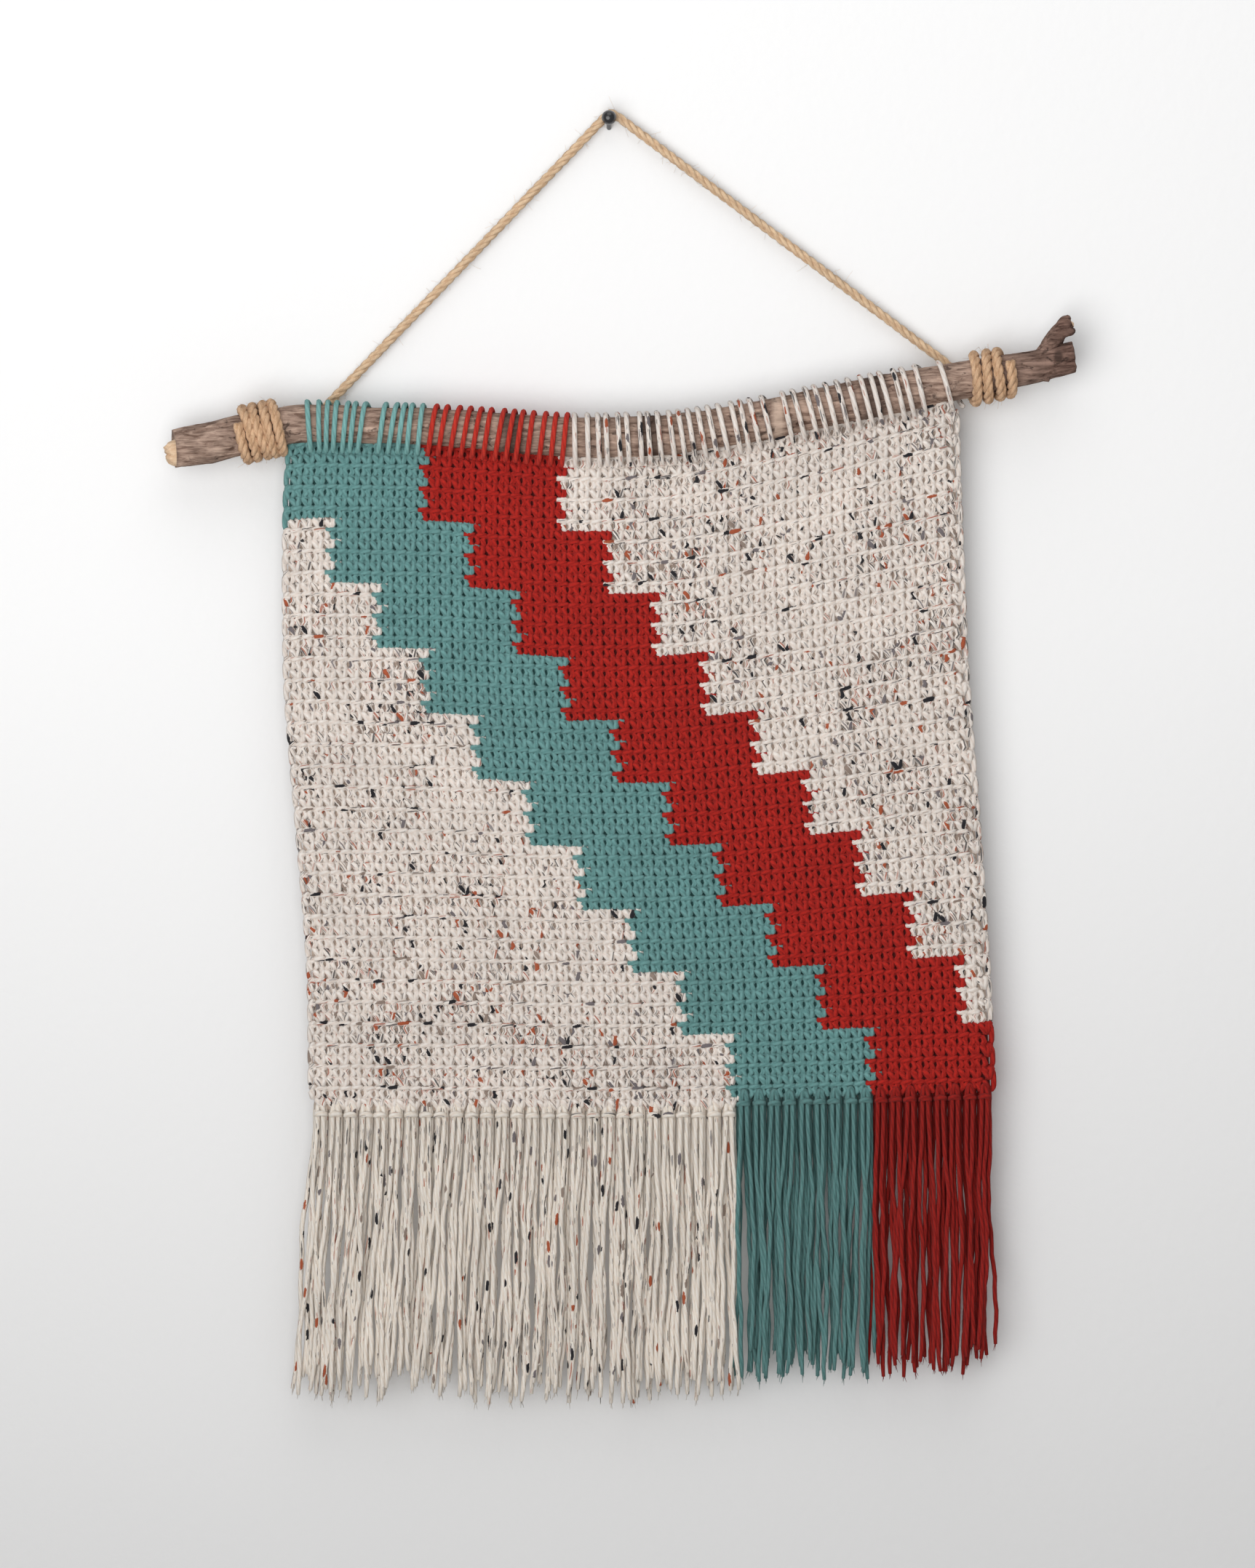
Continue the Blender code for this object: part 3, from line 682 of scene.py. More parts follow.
# %% Run of the branch
BRANCH_RUN = [
    # x, z, diameter
    (-0.2510, -0.1873, 0.0218),
    (-0.2310, -0.1840, 0.0231),
    (-0.2134, -0.1798, 0.0235),
    (-0.1793, -0.1735, 0.0227),
    (-0.1415, -0.1739, 0.0218),
    (-0.1021, -0.1751, 0.0218),
    (-0.0617, -0.1781, 0.0227),
    (-0.0239, -0.1810, 0.0235),
    (0.0139, -0.1806, 0.0235),
    (0.0424, -0.1789, 0.0235),
    (0.0869, -0.1714, 0.0235),
    (0.1407, -0.1604, 0.0235),
    (0.1789, -0.1525, 0.0227),
    (0.2079, -0.1474, 0.0210),
    (0.2356, -0.1420, 0.0193),
    (0.2680, -0.1344, 0.0176),
]
SLOPE_REACH = 0.001


def branch_at(x):
    """Centre, upward normal and radius of the branch at many places along it."""
    x = np.asarray(x, float)
    z, diameter = smooth(BRANCH_RUN, x)
    rise = smooth(BRANCH_RUN, x + SLOPE_REACH)[0] - smooth(BRANCH_RUN, x - SLOPE_REACH)[0]
    normal = np.stack([-rise, np.zeros_like(x), np.full_like(x, 2 * SLOPE_REACH)], axis=-1)
    normal /= np.linalg.norm(normal, axis=-1, keepdims=True)
    return np.stack([x, np.full_like(x, CLOTH_DEPTH), z], axis=-1), normal, diameter / 2


def around_branch(x, angle, radius):
    """Points round the branch. The angle is 0 at the back and grows over the top to the front."""
    centre, normal, _ = branch_at(x)
    back = np.array([0.0, 1.0, 0.0])
    out = np.cos(angle)[..., None] * back + np.sin(angle)[..., None] * normal
    return centre + radius[..., None] * out


print("branch", round(BRANCH_RUN[-1][0] - BRANCH_RUN[0][0], 3), "m long")

# %% [markdown]
# Bark is built up from noise that is stretched along the grain: long ridges, finer ones, broad swellings
# and a few pits. Each knot adds one soft bump or dent. A displacement texture could do it too, but a
# formula for each vertex keeps every ridge where it is when the mesh gets more rows.

# %% Bark relief
BARK_NOISE = [
    # cells a metre along the branch, cells round it, height in metres
    (70.0, 4.5, 0.00060),
    (210.0, 11.0, 0.00034),
    (26.0, 1.2, 0.00090),
]
BARK_PITS = (119.0, 7.65, 0.00080)
KNOT_GIRTH = 0.011
BARK_KNOTS = [
    # x, angle round the branch in degrees, radius of the knot, height
    (0.2590, 178, 0.0032, -0.0012),
    (0.1190, 150, 0.0040, 0.0009),
    (-0.2200, 200, 0.0035, 0.0008),
    (-0.2010, 120, 0.0022, -0.0007),
    (-0.1500, 60, 0.0040, 0.0010),
    (0.0300, 20, 0.0050, 0.0012),
    (0.1990, 215, 0.0026, 0.0006),
]


def grain_noise(place, ring, along, around):
    """Noise at one place of the bark, stretched along the grain."""
    return noise.noise(Vector((place * along, ring.x * around, ring.y * around)))


def knot_height(place, turn):
    """What the knots add at one place."""
    height = 0.0
    for knot_x, degrees, size, rise in BARK_KNOTS:
        swing = (turn - math.radians(degrees) + math.pi) % TURN - math.pi
        gap = math.hypot(place - knot_x, swing * KNOT_GIRTH) / size
        height += rise * math.exp(-(gap**2))
    return height


def bark_relief(x, angle):
    """How far the bark stands out of the round form, in metres."""
    pit_along, pit_around, pit_depth = BARK_PITS
    relief = []
    for place, turn in zip(x, angle):
        ring = Vector((math.cos(turn), math.sin(turn)))
        height = sum(rise * grain_noise(place, ring, along, around) for along, around, rise in BARK_NOISE)
        pit = max(grain_noise(place, ring, pit_along, pit_around), 0.0)
        relief.append(height - pit_depth * pit**2 + knot_height(place, turn))
    return np.array(relief)


knot_x, knot_degrees = BARK_KNOTS[0][:2]
knot_relief = float(bark_relief([knot_x], [math.radians(knot_degrees)])[0])
print("relief at the first knot:", round(knot_relief * 1000, 2), "mm")

# %% [markdown]
# Both ends of the branch are broken. The last rings fold inwards over the edge of the bark, each at its own
# share of the radius, and noise pulls some of their points outwards. So the bare core of the left end
# stands out of the bark in splinters. It sits low and slants, as the wood tore that way.

# %% Branch mesh
BARK_SIDES = 56
BARK_ROWS = 210
LEFT_END = [
    # x beyond the bark's edge, share of the radius, splinter reach
    (-0.0036, 0.20, 0.0010),
    (-0.0032, 0.40, 0.0016),
    (-0.0022, 0.58, 0.0018),
    (-0.0004, 0.68, 0.0008),
    (0.0014, 0.72, 0.0000),
    (0.0006, 0.95, 0.0004),
]
RIGHT_END = [
    # x beyond the bark's edge, share of the radius, splinter reach
    (0.0003, 0.96, 0.0003),
    (0.0004, 0.86, 0.0005),
    (-0.0006, 0.60, 0.0006),
    (-0.0008, 0.25, 0.0006),
]
BREAK_SLANT = 0.0018
BREAK_REACH = 0.030
CORE_DROP = 0.0026
BARE_RINGS = 5
BARK_FROM = 0.85
SPLINTER_CHANCE = (0.7, 1.3)
SPLINTER_NOISE = (2.0, 3.0)
SPLINTER_LEAST, SPLINTER_SWING = 0.5, 1.5
BRANCH_SEED = 2


def end_rings(rows, edge_x, rng):
    """The rings that fold over one broken end, as x, share of the radius and splinter."""
    chance = SPLINTER_CHANCE
    return [(edge_x + reach, share, splinter * rng.uniform(*chance)) for reach, share, splinter in rows]


def branch_rings():
    """All the rings, as x, share of the radius and splinter, with a closing point at each end."""
    rng = random.Random(BRANCH_SEED)
    first, last = BRANCH_RUN[0][0], BRANCH_RUN[-1][0]
    rows = end_rings(LEFT_END, first, rng)
    rows += [(first + (last - first) * i / BARK_ROWS, 1.0, 0.0) for i in range(BARK_ROWS + 1)]
    rows += end_rings(RIGHT_END, last, rng)
    table = np.array([rows[0], *rows, rows[-1]])
    table[[0, -1], 1] = 0.0
    return table


def splinter_noise(angle, share):
    """Noise round the torn rings of the ends."""
    around, inward = SPLINTER_NOISE
    places = zip(np.cos(angle) * around, np.sin(angle) * around, share * inward)
    return np.array([noise.noise(Vector(place)) for place in places])


def branch_points(table, layout):
    """The branch's vertices: round and rough, then splintered, dropped and slanted where it is broken."""
    first, last = BRANCH_RUN[0][0], BRANCH_RUN[-1][0]
    x, share, splinter = table[layout["ring"]].T
    angle = layout["angle"]
    inner = np.clip(x, first, last)
    radius = branch_at(inner)[2] * share + bark_relief(inner, angle) * (share > BARK_FROM)
    points = around_branch(inner, angle, radius)
    side = np.where(x < 0, -1.0, 1.0)
    spike = SPLINTER_LEAST + SPLINTER_SWING * splinter_noise(angle, share)
    points[:, 0] += x - inner + side * splinter * spike
    points[:, 2] -= CORE_DROP * ((share < LEFT_END[-1][1]) & (x < 0))
    near_left = np.clip(1 - (inner - first) / BREAK_REACH, 0, 1) ** 2
    points[:, 0] += BREAK_SLANT * near_left * (CLOTH_DEPTH - points[:, 1]) / branch_at(first)[2]
    return points


def branch_mesh():
    """The bark, and the bare core at its left end, as one closed mesh."""
    table = branch_rings()
    layout = tube_layout(len(table), BARK_SIDES)
    uvs = np.stack([table[layout["corner_ring"], 0], layout["corner_round"]], axis=1)[None]
    mesh = mesh_from_copies("branch", branch_points(table, layout)[None], layout, uvs)
    bm = bmesh.new()
    bm.from_mesh(mesh)
    bmesh.ops.recalc_face_normals(bm, faces=bm.faces)
    for face in bm.faces:
        face.material_index = int(max(layout["ring"][vert.index] for vert in face.verts) <= BARE_RINGS)
    bm.to_mesh(mesh)
    bm.free()
    return mesh


branch_parts = [branch_mesh()]
print("bark", count_triangles(branch_parts[0]), "triangles")

# %% [markdown]
# A twig broke off at the right end and left a fork. The twig and its two torn prongs are tapered tubes. Each
# starts inside the wood that it grows from, so no seam shows there.

# %% Twig
TWIG_TUBES = {
    # name: points as x, y, z, radius, from the branch outwards
    "twig": [
        (0.2470, -0.0220, -0.1455, 0.0076),
        (0.2502, -0.0220, -0.1385, 0.0074),
        (0.2534, -0.0224, -0.1318, 0.0064),
        (0.2560, -0.0230, -0.1258, 0.0053),
        (0.2596, -0.0236, -0.1204, 0.0049),
        (0.2636, -0.0241, -0.1168, 0.0041),
        (0.2672, -0.0247, -0.1152, 0.0016),
    ],
    "upper_prong": [
        (0.2590, -0.0238, -0.1200, 0.0036),
        (0.2618, -0.0240, -0.1158, 0.0034),
        (0.2640, -0.0241, -0.1130, 0.0030),
        (0.2658, -0.0243, -0.1112, 0.0014),
    ],
    "lower_prong": [
        (0.2606, -0.0244, -0.1212, 0.0034),
        (0.2636, -0.0250, -0.1200, 0.0031),
        (0.2664, -0.0253, -0.1196, 0.0024),
        (0.2688, -0.0252, -0.1192, 0.0010),
    ],
}
BARE_TIPS = ("twig",)
TWIG_RINGS = 20
TWIG_SIDES = 28
TWIG_GRAIN = 0.0010
TWIG_NOISE = (260, 420, 200)


def roughen_twig(mesh):
    """Moves each vertex in or out by noise."""
    for vertex in mesh.vertices:
        place = [co * scale for co, scale in zip(vertex.co, TWIG_NOISE)]
        vertex.co += vertex.normal * TWIG_GRAIN * noise.noise(Vector(place))


def twig_mesh(name, rows):
    """A tapered tube with rough bark, bare at its tip where the name says so."""
    rows = np.array(rows)
    along = lengths_along(rows[None, :, :3])[0]
    read = smooth(np.column_stack([along, rows]), np.linspace(0, along[-1], TWIG_RINGS))
    middle = read[:3].T[None]
    mesh = joined_tubes(name, middle, read[3][None], TWIG_SIDES)
    roughen_twig(mesh)
    gap = np.linalg.norm(np.array([v.co for v in mesh.vertices])[:, None] - middle, axis=2)
    nearest_ring = gap.argmin(axis=1)
    bare_from = TWIG_RINGS - 1 if name in BARE_TIPS else TWIG_RINGS
    for face in mesh.polygons:
        face.material_index = int(min(nearest_ring[list(face.vertices)]) >= bare_from)
    return mesh


for name, rows in TWIG_TUBES.items():
    branch_parts.append(twig_mesh(name, rows))
    print(name, count_triangles(branch_parts[-1]), "triangles")

# %% [markdown]
# Old bark is grey and brown in long streaks, with dark scars between. One group makes streaks and pits from
# noise that is squeezed across the grain. The bark uses it twice, fine for its streaks and coarse for its
# scars, and the bare wood once more.

# %% The grain of wood
STREAK_NOISE = {"Scale": 1.0, "Detail": 6.0, "Roughness": 0.65, "Distortion": 0.6}
PIT_SCALE = 1.6
PIT_RANGE = (0.05, 0.45)


def make_grain_group():
    """Long streaks and pits that run with the branch."""
    group, given, result = new_group(
        "grain", {"Length": 16.0, "Width": 150.0}, {"Streak": "Float", "Pit": "Float"}
    )
    place = add_node(group, "TexCoord").outputs["Object"]
    stretch = add_node(group, "CombineXYZ", {0: given["Length"], 1: given["Width"], 2: given["Width"]})
    stretched = {0: place, 1: stretch.outputs[0]}
    grained = add_node(group, "VectorMath", stretched, operation="MULTIPLY").outputs[0]
    streak = add_node(group, "TexNoise", {"Vector": grained, **STREAK_NOISE}).outputs[0]
    pits = add_node(group, "TexVoronoi", {"Vector": grained, "Scale": PIT_SCALE}).outputs["Distance"]
    group.links.new(streak, result["Streak"])
    group.links.new(remap(group, pits, *PIT_RANGE), result["Pit"])
    return group


GRAIN = make_grain_group()
print("group", GRAIN.name)

# %% [markdown]
# The patches of the bark lie at measured places: three dark ones, one that is rubbed bare, a dark knot and
# the redder right end. Each is a soft mask on the piece's own coordinates, mixed over the streaks.

# %% Bark and bare wood
# The groove colours are partly the bark's own and partly painted shade in the grooves.
BARK_COLOURS = {
    "groove": (98, 74, 62),
    "ridge": (194, 167, 150),
    "red groove": (52, 31, 25),
    "red ridge": (140, 110, 98),
    "dark patch": (66, 50, 44),
    "rubbed patch": (206, 182, 164),
    "scar": (64, 48, 42),
    "knot": (40, 28, 24),
}
BARK_PATCHES = [
    # colour, x of the middle, half width, strength
    ("dark patch", -0.0555, 0.0090, 0.75),
    ("dark patch", 0.1525, 0.0090, 0.75),
    ("dark patch", 0.0235, 0.0090, 0.75),
    ("rubbed patch", 0.0975, 0.0045, 0.60),
]
PATCH_CORE = 0.4
FINE_GRAIN = {"Length": 70.0, "Width": 360.0}
COARSE_GRAIN = {"Length": 120.0, "Width": 170.0}
WOOD_GRAIN = {"Length": 60.0, "Width": 420.0}
BARK_STREAKS = (0.34, 0.66)
BARK_SCARS = (0.60, 0.68, 0.0, 0.7)
RED_END = (0.205, 0.262, 0.0, 0.95)
DARK_KNOT = (0.2590, -0.0315, -0.1345)
KNOT_SQUEEZE = (1.0, 0.4, 0.7)
KNOT_MASK = (0.0018, 0.0034, 0.7, 0.0)
BARK_TONE = (0.010, 0.9)
PIT_SHARE = 0.35
BARK_BUMP = (0.0012, 0.9)
WOOD_COLOURS = (204, 164, 128), (244, 218, 186)
WOOD_STREAKS = (0.3, 0.7)
WOOD_BUMP = (0.0008, 0.7)


def patch_mask(tree, x_socket, centre, width, strength):
    """A soft mask round one place along the branch."""
    gap = calculate(tree, "ABSOLUTE", calculate(tree, "SUBTRACT", x_socket, centre))
    mask = remap(tree, gap, width * PATCH_CORE, width, 1.0, 0.0)
    return calculate(tree, "MULTIPLY", mask, strength)


def knot_mask(tree, place):
    """A soft mask round the dark knot."""
    offset = add_node(tree, "VectorMath", {0: place, 1: DARK_KNOT}, operation="SUBTRACT").outputs[0]
    squeezed = add_node(tree, "VectorMath", {0: offset, 1: KNOT_SQUEEZE}, operation="MULTIPLY").outputs[0]
    gap = add_node(tree, "VectorMath", {0: squeezed}, operation="LENGTH").outputs["Value"]
    return remap(tree, gap, *KNOT_MASK)


def bark_colour(tree, streak, scar):
    """Streaked bark, redder at the right end, with its patches, its scars and its knot."""
    shades = {name: linear(code) for name, code in BARK_COLOURS.items()}
    place = add_node(tree, "TexCoord").outputs["Object"]
    x = add_node(tree, "SeparateXYZ", {0: place}).outputs[0]
    # The same streak sets the bump's height and the colour: the grooves are darker, partly the bark's own
    # colour and partly painted shade.
    colour = mix_colours(tree, streak, shades["groove"], shades["ridge"])
    reddish = mix_colours(tree, streak, shades["red groove"], shades["red ridge"])
    colour = mix_colours(tree, remap(tree, x, *RED_END), colour, reddish)
    for shade, centre, width, strength in BARK_PATCHES:
        colour = mix_colours(tree, patch_mask(tree, x, centre, width, strength), colour, shades[shade])
    colour = mix_colours(tree, scar, colour, shades["scar"])
    return mix_colours(tree, knot_mask(tree, place), colour, shades["knot"])


def bark_material():
    """Dry bark with streaks, pits and scars."""
    material, tree, shader = new_material("bark", Roughness=0.9, Specular_IOR_Level=0.25)
    grain = use_group(tree, GRAIN, **FINE_GRAIN)
    coarse = use_group(tree, GRAIN, **COARSE_GRAIN)
    streak = remap(tree, grain["Streak"], *BARK_STREAKS)
    scar = remap(tree, coarse["Streak"], *BARK_SCARS)
    add_toned_colour(tree, shader, bark_colour(tree, streak, scar), *BARK_TONE)
    height = calculate(tree, "MULTIPLY_ADD", grain["Pit"], PIT_SHARE, grain["Streak"])
    add_bump(tree, shader, calculate(tree, "SUBTRACT", height, scar), *BARK_BUMP)
    return material


def bare_wood_material():
    """The pale torn wood under the bark."""
    material, tree, shader = new_material("bare_wood", Roughness=0.8)
    grain = use_group(tree, GRAIN, **WOOD_GRAIN)
    streak = remap(tree, grain["Streak"], *WOOD_STREAKS)
    colour = mix_colours(tree, streak, *[linear(code) for code in WOOD_COLOURS])
    tree.links.new(colour, shader.inputs["Base Color"])
    add_bump(tree, shader, grain["Streak"], *WOOD_BUMP)
    return material


# %% Branch
WOODS = [bark_material(), bare_wood_material()]
add_piece("rough_branch", join_meshes("rough_branch", branch_parts), WOODS, ["branch"])

# %% [markdown]
# At each side the cord grips the branch with a few turns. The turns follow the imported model's coil with over
# four times its points, and are laid from three strands, like the cord that leaves them. A slow wave along
# the coil keeps the turns from lying too evenly.

# %% Jute wraps
WRAP_DIAMETER = 0.0050
WRAP_GAP = 0.0003
WRAP_FULLNESS = 1.28
WRAP_STEPS = 44
WRAP_END_ANGLE = math.radians(-60)
WRAP_WANDER = 0.0005
WANDER_TURNS = 1.7
WANDER_START = 1.0
WRAP_HAIRS = 260
WRAPS = [
    # name, x of the outer turn, x of the inner turn, turns, seed of the hairs
    ("jute_wrap_left", -0.2126, -0.1893, 4.4, 14),
    ("jute_wrap_right", 0.2318, 0.2094, 3.4, 15),
]


def wrap_coil(outer_x, inner_x, turns):
    """The middle line of the turns round the branch."""
    share = np.linspace(0, 1, round(turns * WRAP_STEPS))
    angle = WRAP_END_ANGLE - TURN * turns * (1 - share)
    x = outer_x + (inner_x - outer_x) * share
    x = x + WRAP_WANDER * np.sin(angle * WANDER_TURNS + WANDER_START)
    return around_branch(x, angle, branch_at(x)[2] + WRAP_GAP + WRAP_DIAMETER / 2)


for name, outer_x, inner_x, turns, seed in WRAPS:
    coil = wrap_coil(outer_x, inner_x, turns)
    strands = strand_mesh(name + "_coil", coil, WRAP_DIAMETER * WRAP_FULLNESS)
    fuzz = fuzz_mesh(name + "_fuzz", coil, WRAP_DIAMETER, WRAP_HAIRS, seed)
    add_piece(name + "_coil", join_meshes(name + "_coil", [strands, fuzz]), [JUTE], [name])

# %% [markdown]
# The cloth is worked in rows of single crochet, turned at each end, so every second row shows its back. A
# hanging cloth could be simulated, but it hangs almost flat and its outline is measured, so the surface is
# written as a formula: the sides and the hem come from short tables, and two soft waves give it depth.

# %% The hanging surface
COLUMNS = 58
ROWS = 61
BRANCH_GAP = 0.0004
PANEL_SIDES = [
    # share down, left x, right x
    (0.00, -0.1836, 0.1995),
    (0.10, -0.1856, 0.2005),
    (0.32, -0.1856, 0.2040),
    (0.40, -0.1844, 0.2055),
    (0.60, -0.1779, 0.2115),
    (0.80, -0.1720, 0.2170),
    (1.00, -0.1709, 0.2209),
]
PANEL_BASE = [
    # x, z of the last full row
    (-0.1709, -0.5629),
    (0.0000, -0.5636),
    (0.0735, -0.5626),
    (0.2209, -0.5582),
]
PANEL_WAVES = [
    # depth, waves across, waves down, phase
    (0.0016, 1.3, 0.4, 0.6),
    (0.0008, 2.6, -0.9, 2.1),
]


def panel_depth(across, down):
    """How the cloth swells and dips, from nothing at the branch to the most at the hem."""
    depth = CLOTH_DEPTH
    for height, waves_across, waves_down, phase in PANEL_WAVES:
        depth = depth + height * down * np.sin(TURN * (waves_across * across + waves_down * down) + phase)
    return depth


def cloth_point(across, row, out):
    """Points of the cloth: a share across, rows down from the top, and a distance towards the viewer."""
    down = row / ROWS
    left, right = smooth(PANEL_SIDES, down)
    top_left, top_right = PANEL_SIDES[0][1:]
    low_left, low_right = PANEL_SIDES[-1][1:]
    centre, _, radius = branch_at(top_left + (top_right - top_left) * across)
    top = centre[..., 2] - radius - BRANCH_GAP
    base = smooth(PANEL_BASE, low_left + (low_right - low_left) * across)[0]
    x = left + (right - left) * across
    depth = panel_depth(across, np.minimum(down, 1)) - out
    return np.stack([x, depth, top + (base - top) * down], axis=-1)


CORNERS = cloth_point(np.array([0.0, 1.0]), np.array([0.0, ROWS]), 0.0)
print("the cloth's top left and bottom right corners:", CORNERS.round(3).tolist())

# %% [markdown]
# The colours step down the cloth as two diagonal bands, first teal and then red, from the top left corner
# to the bottom right one. A rule gives each stitch its colour, so the steps stay even.

# %% Colour of each stitch
STEP_ROWS = 6.1
STEP_COLUMNS = 4
BAND_COLUMNS = 12
HEM_COLUMNS = 36


def stitch_colour(column, row):
    """The colour of one stitch, from the step that its row is on."""
    edge = STEP_COLUMNS * int(row / STEP_ROWS)
    if edge <= column < edge + BAND_COLUMNS:
        return "teal"
    if edge + BAND_COLUMNS <= column < edge + 2 * BAND_COLUMNS:
        return "red"
    return "cream"


def stitch_cells():
    """Every stitch's column, row and colour. The cream hem is one row longer than the rest."""
    cells = []
    for row in range(ROWS + 1):
        for column in range(COLUMNS if row < ROWS else HEM_COLUMNS):
            cells.append((column, row, stitch_colour(column, min(row, ROWS - 1))))
    return cells


CELLS = stitch_cells()
print(len(CELLS), "stitches:", {name: sum(cell[2] == name for cell in CELLS) for name in YARNS})

# %% [markdown]
# One stitch is one length of yarn: down the back, through the row below, up and down the front as a loop,
# back through, and out over the top, where it makes half of the chain that the next row is worked into.
# Seen from the front a row shows a slit inside each loop. Seen from behind it shows small dark gaps between
# slanting legs. The same path, turned round, makes the rows that were worked from the other side. The yarn
# is pulled thin where it goes through the cloth and swells where it lies free, so each point has its own
# thickness.

# %% Stitches
YARN_RADIUS = 0.0018
STITCH_RINGS = 17
STITCH_SIDES = 6
DEPTH_UNIT = 0.00135
ROW_SHIFT = 0.27
STITCH_JITTER = 0.00014
STITCH_WANDER = 0.022
STITCH_STRETCH = 0.03
YARN_UNEVEN = 0.04
EDGE_OVERHANG = 0.10
TOP_OVERHANG = 0.25
STITCH_SEED = 12
STITCH_PATH = [
    # across in stitch widths, up in rows, towards the worker in depth units, share of the full thickness
    (0.50, 1.00, -1.4, 0.95),
    (0.40, 0.84, -1.9, 1.00),
    (0.19, 0.62, -2.0, 0.97),
    (0.08, 0.32, -1.2, 0.86),
    (0.06, 0.05, 0.2, 0.76),
    (0.22, 0.16, 1.4, 0.86),
    (0.36, 0.44, 1.7, 1.00),
    (0.34, 0.78, 1.2, 1.00),
    (0.12, 0.98, 0.2, 0.88),
    (-0.14, 0.98, 0.2, 0.88),
    (-0.35, 0.78, 1.2, 1.00),
    (-0.38, 0.44, 1.7, 1.00),
    (-0.23, 0.16, 1.4, 0.86),
    (-0.06, 0.05, 0.0, 0.76),
    (-0.08, 0.32, -1.2, 0.86),
    (-0.19, 0.62, -2.0, 0.97),
    (-0.30, 0.84, -1.9, 1.00),
    (-0.16, 1.00, -1.2, 0.90),
    (0.08, 1.08, 0.0, 0.86),
    (0.00, 1.13, 1.2, 0.88),
    (-0.38, 1.12, 1.7, 0.92),
    (-0.76, 1.08, 1.4, 0.92),
    (-0.95, 1.02, 0.3, 0.90),
    (-0.84, 0.98, -0.9, 0.90),
    (-0.50, 1.00, -1.4, 0.95),
]


def stitch_template():
    """The stitch's path and thickness, with rings at even shares of its points, so that bends get more."""
    last = len(STITCH_PATH) - 1
    rows = np.column_stack([np.arange(last + 1), np.array(STITCH_PATH) * (1.0, 1.0, DEPTH_UNIT, 1.0)])
    return smooth(rows, np.linspace(0, last, STITCH_RINGS)).T


def stitch_paths(cells, rng):
    """The yarn's path through each stitch of a list, on the hanging surface."""
    path = stitch_template()
    column = np.array([cell[0] for cell in cells], float)[:, None]
    row = np.array([cell[1] for cell in cells], float)[:, None]
    turned = np.where(row % 2 == 1, -1.0, 1.0)
    wander = rng.normal(0, 1, (3, len(cells), 1))
    across = column + 0.5 - turned * ROW_SHIFT + turned * path[:, 0] + STITCH_WANDER * wander[0]
    across = np.clip(across, -EDGE_OVERHANG, COLUMNS + EDGE_OVERHANG)
    down = row + 1 - path[:, 1] * (1 + STITCH_STRETCH * wander[1])
    out = turned * path[:, 2] + STITCH_JITTER * wander[2]
    return cloth_point(across / COLUMNS, np.maximum(down, -TOP_OVERHANG), out)


def add_stitches(name, cells, colour, rng):
    """One piece of many stitches. The yarn runs on from each stitch to the next."""
    paths = stitch_paths(cells, rng)
    length = float(lengths_along(paths)[:, -1].mean())
    radii = YARN_RADIUS * stitch_template()[:, 3] * (1 + YARN_UNEVEN * rng.normal(0, 1, (len(cells), 1)))
    radii = radii * (1 + YARN_UNEVEN * rng.normal(0, 1, paths.shape[:2]))
    mesh = joined_tubes(name, paths, radii, STITCH_SIDES, length)
    print(round(length * 1000, 1), "mm of yarn in a stitch")
    return add_piece(name, mesh, [YARNS[colour]])


CREAM_BLOCKS = {"upper": (0, 16), "middle": (16, 38), "lower": (38, ROWS + 1)}
stitch_rng = np.random.default_rng(STITCH_SEED)
for colour in ("teal", "red"):
    chosen = [cell for cell in CELLS if cell[2] == colour]
    add_stitches(colour + "_stitches", chosen, colour, stitch_rng)
for block, (first_row, after_row) in CREAM_BLOCKS.items():
    chosen = [cell for cell in CELLS if cell[2] == "cream" and first_row <= cell[1] < after_row]
    add_stitches("cream_stitches_" + block, chosen, "cream", stitch_rng)

# %% [markdown]
# Behind the loops lies the thin ground of the cloth: the yarn that is carried along inside the rows. It is
# one closed sheet, and it keeps the light from falling straight through the stitches. Its darker tones are
# painted shade: they make the holes between the stitches look dark.

# %% Ground sheet
GROUND_THICKNESS = 0.0011
# The yarns' colours darkened: painted shade for the holes between the stitches.
GROUND_SHADE_COLOURS = {"cream": (186, 168, 154), "teal": (44, 84, 82), "red": (78, 11, 8)}
GROUND_INSET = 0.12
GROUND_TONE = (0.002, 0.7)
GROUND_BUMP = (0.0006, 0.6)


def shaded_ground_material(name, colour):
    """Carried yarn, coloured darker than the stitches as painted shade for the holes between them."""
    material, tree, shader = new_material(name, Roughness=0.95)
    tone = add_toned_colour(tree, shader, linear(colour), *GROUND_TONE)
    add_bump(tree, shader, tone, *GROUND_BUMP)
    return material


def ground_mesh():
    """A grid with one cell for each stitch, laid on the hanging surface."""
    # The grid reaches from -0.5 to 0.5 both ways. The cells under the short part of the hem are taken out.
    bm = bmesh.new()
    bmesh.ops.create_grid(bm, x_segments=COLUMNS, y_segments=ROWS + 1, size=0.5)
    names = list(YARNS)
    spare = []
    for face in bm.faces:
        middle = face.calc_center_median()
        column = int((middle.x + 0.5) * COLUMNS)
        row = int((0.5 - middle.y) * (ROWS + 1))
        face.material_index = names.index(stitch_colour(column, min(row, ROWS - 1)))
        if row == ROWS and column >= HEM_COLUMNS:
            spare.append(face)
    bmesh.ops.delete(bm, geom=spare, context="FACES")
    for vert in bm.verts:
        across = GROUND_INSET / COLUMNS + (vert.co.x + 0.5) * (1 - 2 * GROUND_INSET / COLUMNS)
        row = (0.5 - vert.co.y) * (ROWS + 1)
        vert.co = cloth_point(np.array(across), np.array(max(row, GROUND_INSET)), 0.0)
    bmesh.ops.recalc_face_normals(bm, faces=bm.faces)
    mesh = bpy.data.meshes.new("cloth_ground")
    bm.to_mesh(mesh)
    bm.free()
    mesh.shade_smooth()
    return mesh


